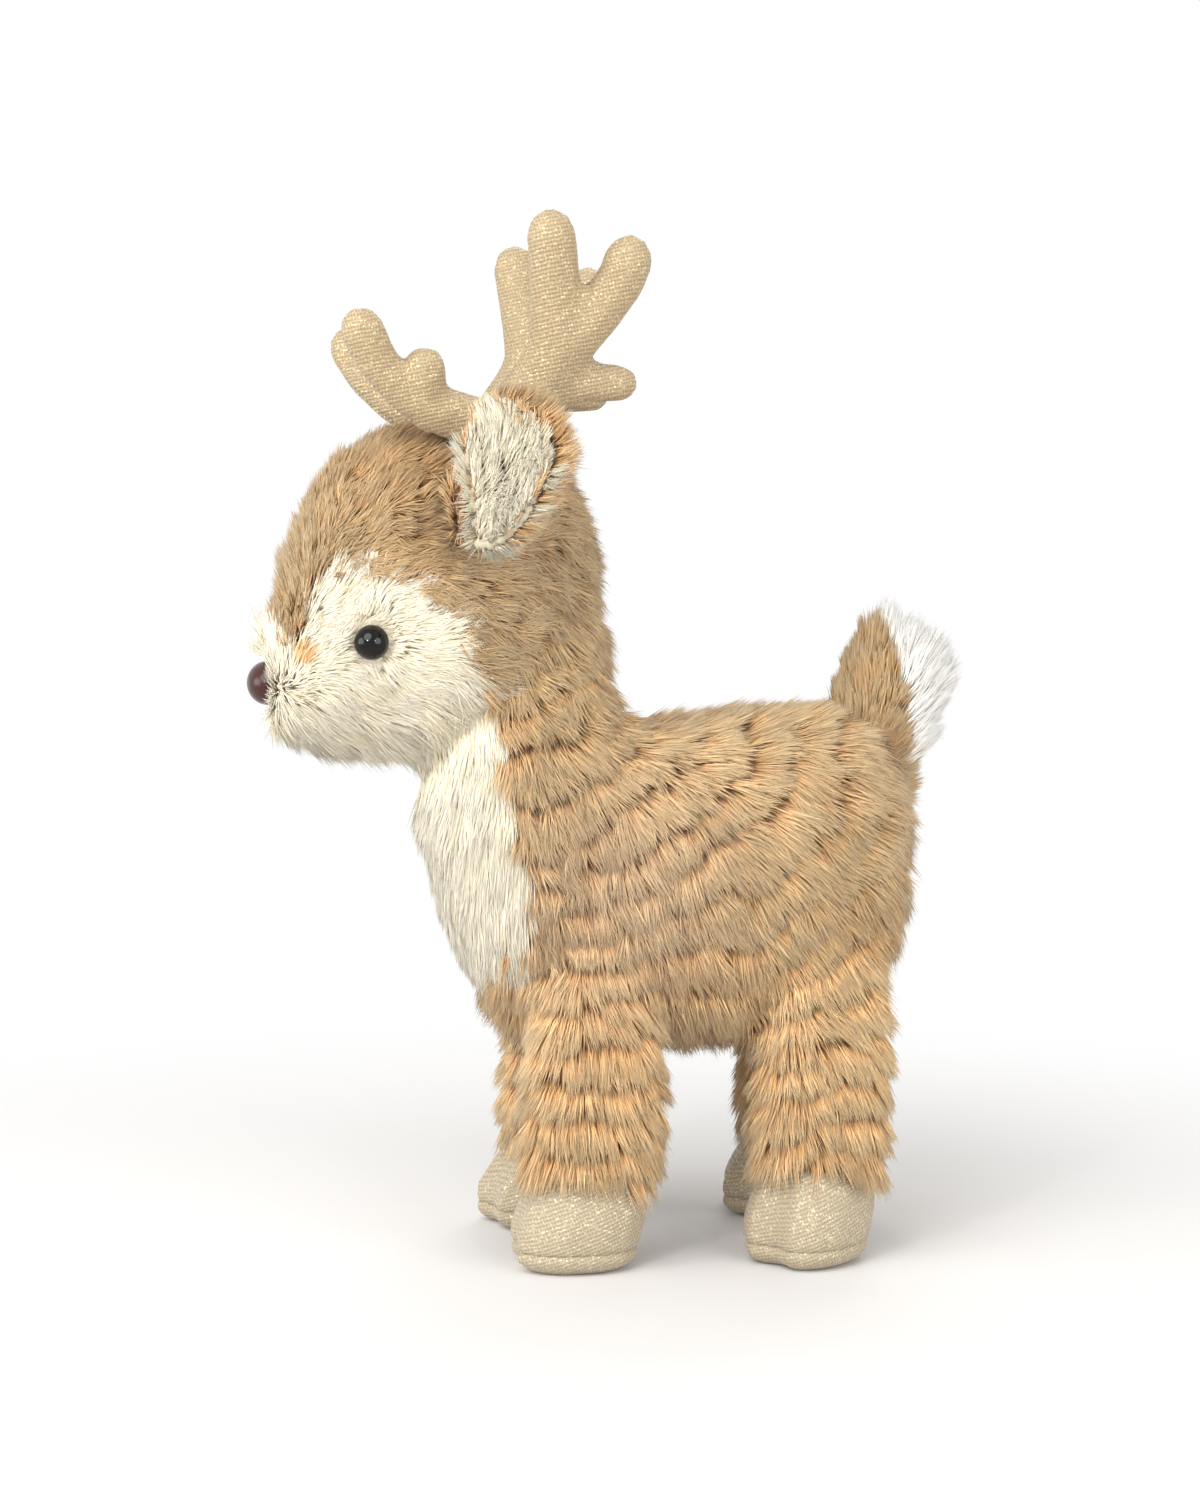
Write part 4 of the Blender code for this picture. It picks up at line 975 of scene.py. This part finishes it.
def out_from(source, pull):
    """A comb whose fur runs away from one point, with a steady pull added. At a rim it goes
    straight on outwards, and it is laid flat only where it would run into the cloth."""
    def comb(root, normal):
        away = root - source
        lie = unit(unit(away) + pull)
        into = np.minimum((lie * normal).sum(axis=1, keepdims=True), 0)
        return np.linalg.norm(away, axis=1), unit(lie - into * normal)
    return comb


def from_rim(places, rim):
    """For each place, the distance to the nearest point of a rim."""
    return np.sqrt(((places[:, None, :] - rim[None, :, :]) ** 2).sum(axis=2).min(axis=1))


def amber_waves(seen, tone):
    """A tone with a little amber in soft waves."""
    return blended(tone, AMBER, 0.05 + 0.2 * smooth(waves(seen, 12 * MM, 74), -0.5, 1))


def two_layers(nodes, cores, voxel, pile, source, pull, body, seed, turned_over, bare,
               sink=lambda points: points):
    """Dresses a skin that has two panels, such as an ear or the tail. The skin's foot is moved
    by sink into what it is sewn to. Fur of the first panel is turned over the rim on to the
    second by a width, and an ear's second is short there. Nothing grows on the foot, where the
    skin faces back to the source by more than the share bare."""
    points, faces = wrapped([*nodes, *cores], voxel)
    points = relaxed(points, faces, LAYER_ROUNDS)
    points = sink(inset(points, faces, pile))
    normals = normals_of(points, faces)
    middles, facing = points[faces].mean(axis=1), unit(normals[faces].sum(axis=1))
    here = nearest_nodes(middles + facing * pile, nodes)
    rim = points[np.intersect1d(faces[here == 0], faces[here == 1])]
    there = np.where(from_rim(middles, rim) < turned_over(middles), 0, here)
    grows = (facing * unit(middles - source)).sum(axis=1) > bare

    def rim_shape(root, normal):
        """Shorter at the rim, and full a reach away from it."""
        return RIM_SHARE + (1 - RIM_SHARE) * smooth(from_rim(root, rim), 0, RIM_REACH), 1.0

    looks = ((amber_waves, even), (lambda seen, tone: tone, even if body == "tail" else rim_shape))
    for number, (node, (paint, shape)) in enumerate(zip(nodes, looks)):
        piece = dress(node, (points, normals), faces[here == number],
                      faces[(there == number) & grows],
                      node.replace("_left", "").replace("_right", ""), out_from(source, pull),
                      seed + SEED_STEP * number, paint, shape)
        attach(piece, body)


# %% Ears
EAR_VOXEL = 1.1 * MM
EAR_PILE = 1.8 * MM
EAR_SOURCE_OFF = np.array([-5, 0, -6]) * MM
EAR_PULL = np.array([0.15, 0, 0.1])
EAR_BARE = -0.9
EAR_SEEDS = {"left": 400, "right": 440}


def ear_turn(middles):
    """The tan comes round the rim at the top of the ear, and a little at its back."""
    return MM * np.maximum(2.6 * smooth(middles[:, 2], 198 * MM, 204 * MM),
                           1.2 * smooth(middles[:, 0], -36 * MM, -28 * MM))


for side in SIDES:
    source = np.array(JOINTS[f"ear_{side}_flex"]["pos_m"]) * [1, 0.7, 1] + EAR_SOURCE_OFF
    two_layers([f"ear_{side}_outer", f"ear_{side}_lining"], [], EAR_VOXEL, EAR_PILE, source,
               EAR_PULL, f"ear_{side}", EAR_SEEDS[side], ear_turn, EAR_BARE)

# %% [markdown]
# The tail stands up. Its front is tan and lies flat, and its back is a fan of long white fur.

# %% Tail
TAIL_VOXEL = 1.4 * MM
TAIL_PILE = 4.2 * MM
TAIL_SOURCE = np.array([62, 0, 116.0]) * MM
TAIL_PULL = np.array([0, 0, 0.5])
TAIL_SEAT = unit(np.array([0.74, 0, 0.67]))
TAIL_SINK = np.array([4, 0, 12]) * MM
TAIL_DROP = 4.5 * MM
TAIL_TURN = 0.8 * MM
TAIL_BARE = -0.95
TAIL_SEED = 480


def tail_foot(points):
    """The foot of the tail pushed down into the torso, less and less up to 12 mm along the
    tail, and its top drawn down, because long fur stands up on it."""
    up = points @ TAIL_SEAT
    low = 1 - smooth(up - up.min(), 1 * MM, 12 * MM)
    high = smooth(points[:, 2], 136 * MM, 158 * MM)
    return points - low[:, None] * TAIL_SINK - TAIL_DROP * high[:, None] * UP


two_layers(["tail_top", "tail_underside"], ["tail_stuffing"], TAIL_VOXEL, TAIL_PILE, TAIL_SOURCE,
           TAIL_PULL, "tail", TAIL_SEED, lambda middles: TAIL_TURN, TAIL_BARE, tail_foot)
print("plush:", totals)

# %% [markdown]
# The antlers and hooves are cut from a knitted cloth with a metallic thread. Seen close, it is
# a row of fine ribs, each a chain of stitches, with bright glints where the thread catches the
# light. Three procedural patterns on the piece's own coordinates make it.

# %% Knit material
RIB_PITCH = 0.95 * MM
STITCH_PITCH = 0.75 * MM
GLINT_SIZE = 0.34 * MM
KNIT_BUMP = 0.25 * MM


def knit_material(name, light, dark, glint, turn):
    """Ribs are a sine across, stitches a sine along, and glints the cells of a fine grid of
    random numbers that come out highest. A wave texture of scale 1 makes 20 / (2 pi) bands in
    a metre, and turn is how far the ribs are off level, in degrees."""
    made, add = new_material(name)
    place = add("TexCoord").outputs["Object"]
    slant = add("Mapping", Vector=place, Rotation=(0, math.radians(turn), 0)).outputs[0]
    rib, stitch = (
        add("TexWave", wave_type="BANDS", bands_direction=axis, Vector=slant, Detail=2.0,
            Distortion=distortion, Detail_Scale=1.5, Scale=1 / pitch * 2 * math.pi / 20)
        for axis, pitch, distortion in (("Z", RIB_PITCH, 1.2), ("X", STITCH_PITCH, 1.5)))
    relief = add("Mix", {0: 0.35, 2: rib.outputs["Fac"], 3: stitch.outputs["Fac"]},
                 data_type="FLOAT").outputs[0]
    speck = add("TexVoronoi", feature="F1", Scale=1 / GLINT_SIZE, Vector=place)
    pick = add("SeparateColor", {0: speck.outputs["Color"]})
    bright = add("MapRange", From_Min=0.85, From_Max=0.93, Value=pick.outputs[0]).outputs[0]
    # the yarn goes from the light colour on top of the relief to the dark one in its grooves: painted shade
    # between ribs and stitches
    groove_shaded_yarn = add("Mix", {0: relief, 6: (*linear(dark), 1), 7: (*linear(light), 1)},
               data_type="RGBA")
    thread = add("Mix", {0: bright, 6: groove_shaded_yarn.outputs[2], 7: (*linear(glint), 1)},
                 data_type="RGBA")
    metal = add("Math", {0: bright, 1: 0.4}, operation="MULTIPLY")
    gloss = add("MapRange", To_Min=0.75, To_Max=0.35, Value=bright)
    bump = add("Bump", Strength=0.6, Distance=KNIT_BUMP, Height=relief)
    cloth = add("BsdfPrincipled", Base_Color=thread.outputs[2], Metallic=metal.outputs[0],
                Roughness=gloss.outputs[0], Normal=bump.outputs[0], Sheen_Weight=0.15)
    add("OutputMaterial", Surface=cloth.outputs[0])
    return made


gold_knit = knit_material("gold_knit_cloth", "A9997B", "8B7554", "CDB88A", 12)
hoof_knit = knit_material("hoof_knit_cloth", "AB9F88", "8F7F64", "C9BB9D", 20)
print("materials", gold_knit.name, "and", hoof_knit.name)

# %% [markdown]
# A knitted piece is a stuffed bag of two cloths that meet in a seam. One skin is wrapped round
# both, made finer, and pulled in along the seam. Then it is split there into its two cloths.

# %% Knitted bags
KNIT = 1.2 * MM
SEAM_DEPTH = 0.55 * MM
SEAM_WIDTH = 0.8 * MM
NORMAL_ROUNDS = 6


def finer(points, triangles):
    """Each triangle cut into four at the middles of its edges, and the points relaxed once."""
    edges, count = edges_of(triangles), len(points)
    sides = np.sort(sides_of(triangles), axis=1) @ [count, 1]
    ab, bc, ca = (np.searchsorted(edges @ [count, 1], sides) + count).reshape(3, -1)
    a, b, c = triangles.T
    triangles = np.concatenate([np.stack(three, axis=1) for three in
                                ((a, ab, ca), (ab, b, bc), (ca, bc, c), (ab, bc, ca))])
    points = np.concatenate([points, points[edges].mean(axis=1)])
    return relaxed(points, triangles, 1), triangles


def knitted_bag(nodes, fillings, voxel, rounds, outward, at, material, body):
    """The two cloths of a bag, split where a point's distance along the unit vector outward
    passes the value at, with the seam pulled in by a bell of that distance."""
    points, faces = wrapped([*nodes, *fillings], voxel)
    points, faces = finer(relaxed(points, faces, rounds), faces)
    off = points @ outward - at
    seam = SEAM_DEPTH * np.exp(-(off / SEAM_WIDTH) ** 2)
    points = points - normals_of(points, faces) * seam[:, None]
    first = off[faces].mean(axis=1) > 0
    shared = np.intersect1d(faces[first], faces[~first])
    normals, edges = normals_of(points, faces), edges_of(faces)
    points[shared] -= off[shared][:, None] * outward
    for _ in range(NORMAL_ROUNDS):
        normals = unit(neighbours_mean(normals, edges))
    for node, chosen in zip(nodes, (first, ~first)):
        sheet, sheet_faces = thin_sheet(points, normals, faces[chosen], KNIT)
        piece = mesh_piece(f"{node.replace('_panel', '')}_knit", sheet, sheet_faces, material)
        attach(piece, body)
        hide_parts(node)
        print(piece.name, len(sheet_faces), "triangles")


# %% Antlers
ANTLER_VOXEL = 1.35 * MM
ANTLER_ROUNDS = 10
ANTLER_SPLAY = math.radians(24)

for side, sign in SIDES.items():
    outward = np.array([0, sign * math.cos(ANTLER_SPLAY), -math.sin(ANTLER_SPLAY)])
    hinge = np.array(JOINTS[f"antler_{side}_flex"]["pos_m"])
    knitted_bag([f"antler_{side}_outer_panel", f"antler_{side}_inner_panel"],
                [f"antler_{side}_stuffing"], ANTLER_VOXEL, ANTLER_ROUNDS, outward,
                hinge @ outward, gold_knit, f"antler_{side}")

# %% Hooves
HOOF_VOXEL = 1.45 * MM
HOOF_ROUNDS = 5
SOLE_SEAM = 5.2 * MM

for end in ("front", "rear"):
    for side in SIDES:
        hoof = f"hoof_{end}_{side}"
        knitted_bag([f"{hoof}_cover", f"{hoof}_sole"], [f"{hoof}_beans"], HOOF_VOXEL,
                    HOOF_ROUNDS, UP, SOLE_SEAM, hoof_knit, "body")

# %% [markdown]
# The eyes and the nose are turned on a lathe: a profile of radius and depth, carried round the
# axis on which they face. The nose is wider than it is tall.

# %% Plastic materials
MOULD_GRAIN = 900.0
CLEAR_GRAIN = 1200.0


def plastic_material(name, scale, detail, low, high, **values):
    """Plastic whose roughness drifts between two values with a fine cloudy noise."""
    made, add = new_material(name)
    cloud = add("TexNoise", Scale=scale, Detail=detail, Vector=add("TexCoord").outputs["Object"])
    worn = add("MapRange", To_Min=low, To_Max=high, Value=cloud.outputs["Fac"])
    shell = add("BsdfPrincipled", Roughness=worn.outputs[0], **values)
    add("OutputMaterial", Surface=shell.outputs[0])
    return made


black_gloss = plastic_material(
    "black_gloss", MOULD_GRAIN, 3.0, 0.05, 0.08, Base_Color=(*linear("060505"), 1),
    Coat_Weight=0.0, Coat_Roughness=0.1, Specular_IOR_Level=0.3)
brown_gloss = plastic_material(
    "brown_gloss", MOULD_GRAIN, 3.0, 0.22, 0.352, Base_Color=(*linear("3B1C13"), 1),
    Coat_Weight=0.15, Coat_Roughness=0.1, Specular_IOR_Level=0.3)
clear = plastic_material(
    "clear_washer", CLEAR_GRAIN, 2.0, 0.25, 0.45, Base_Color=(0.75, 0.78, 0.8, 1),
    Transmission_Weight=0.4)
print("materials", black_gloss.name, brown_gloss.name, clear.name)

# %% Turn the eyes and the nose
TURN_STEPS = 64
DOME_STEPS = 20
POST_RADIUS = 1.6 * MM
ROUNDING = 0.3 * MM
EYE_RADIUS = 4.3 * MM
NOSE_RADIUS = 5.5 * MM
NOSE_STRETCH = 14 / 11


def turned_button(node, radius, stretch, material):
    """A dome with its post: radius times sine and height times cosine of a quarter turn, then a
    flat back, a post and its round end. Each ring is an ellipse, wider by the stretch."""
    seat, facing, reach = SEATS[node]
    quarter = np.linspace(0, np.pi / 2, DOME_STEPS)[1:]
    profile = [*zip(radius * np.sin(quarter), DOME_HEIGHTS[node] * np.cos(quarter)),
               (radius - ROUNDING, -ROUNDING), (POST_RADIUS + ROUNDING, -ROUNDING),
               (POST_RADIUS, -2 * ROUNDING), (POST_RADIUS, ROUNDING - reach),
               (POST_RADIUS - ROUNDING, -reach)]
    away, depth = np.array(profile).T
    right = unit(np.cross(UP, facing))
    over = np.cross(facing, right)
    turn = np.linspace(0, 2 * np.pi, TURN_STEPS, endpoint=False)
    wide = np.where(away > POST_RADIUS + ROUNDING, stretch, 1.0)
    rings = (seat + depth[:, None, None] * facing
             + (away * wide)[:, None, None] * np.cos(turn)[None, :, None] * right
             + away[:, None, None] * np.sin(turn)[None, :, None] * over)
    points = np.concatenate([rings.reshape(-1, 3), [seat + DOME_HEIGHTS[node] * facing],
                             [seat - reach * facing]])
    here = np.arange(TURN_STEPS)
    following = np.roll(here, -1)
    shift = (len(away) - 1) * TURN_STEPS
    start = np.arange(0, shift, TURN_STEPS)[:, None]
    a, b = (start + here).ravel(), (start + following).ravel()
    top, end = np.full(TURN_STEPS, len(points) - 2), np.full(TURN_STEPS, len(points) - 1)
    faces = np.concatenate([np.stack(three, axis=1) for three in (
        (a, a + TURN_STEPS, b), (b, a + TURN_STEPS, b + TURN_STEPS), (top, here, following),
        (end, following + shift, here + shift))])
    piece = mesh_piece(f"{node}_dome", points, faces, material)
    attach(piece, "body")
    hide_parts(node)
    print(piece.name, len(faces), "triangles")


for eye in EYES:
    turned_button(eye, EYE_RADIUS, 1, black_gloss)
turned_button("nose", NOSE_RADIUS, NOSE_STRETCH, brown_gloss)

# %% [markdown]
# What fills the deer isn't seen, but it is part of the toy: polyester wadding in the body,
# plastic beans in the hooves and clear washers behind the eyes and the nose. The wadding is
# made again as soft lumps, a little inside the cloth that holds it.

# %% Fillings
FILL_VOXEL = 1.8 * MM
FILL_GAP = 1.5 * MM
FILL_ROUNDS = 6
LUMP = 0.5 * MM
LUMP_SIZE = 6 * MM


def filling_material(name, light, dark, scale):
    """A cloudy, bumpy filling between two colours."""
    made, add = new_material(name)
    place = add("TexCoord").outputs["Object"]
    cloud = add("TexNoise", Scale=scale, Detail=6.0, Roughness=0.7, Vector=place).outputs["Fac"]
    fluff = add("Mix", {0: cloud, 6: (*linear(dark), 1), 7: (*linear(light), 1)},
                data_type="RGBA")
    bump = add("Bump", Strength=0.5, Distance=0.5 * MM, Height=cloud)
    soft = add("BsdfPrincipled", Base_Color=fluff.outputs[2], Roughness=0.9,
               Normal=bump.outputs[0])
    add("OutputMaterial", Surface=soft.outputs[0])
    return made


wadding = filling_material("wadding", "F6F4EE", "D9D5C8", 300.0)
beans = filling_material("bean_filling", "E9E4D6", "BDB49C", 700.0)

for node in [name for name in frame["nodes"] if name.endswith(("_stuffing", "_beans"))]:
    points, faces = wrapped([node], FILL_VOXEL)
    points = inset(relaxed(points, faces, FILL_ROUNDS), faces, FILL_GAP, 2)
    lumps = LUMP * waves(points, LUMP_SIZE, 75)
    points = points + normals_of(points, faces) * lumps[:, None]
    in_hoof = node.endswith("_beans")
    piece = mesh_piece(f"{node}_fill", points, faces, beans if in_hoof else wadding)
    body = next(name for name, nodes in frame["record"]["behaviour"]["bodies"].items()
                if node in nodes)
    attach(piece, body)
    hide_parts(node)
    print(piece.name, len(faces), "triangles")

# %% Washers
washers = [node for name, node in frame["nodes"].items() if name.endswith("_washer")]
for washer in washers:
    for slot in washer.material_slots:
        slot.material = clear
print(len(washers), "washers in", clear.name)
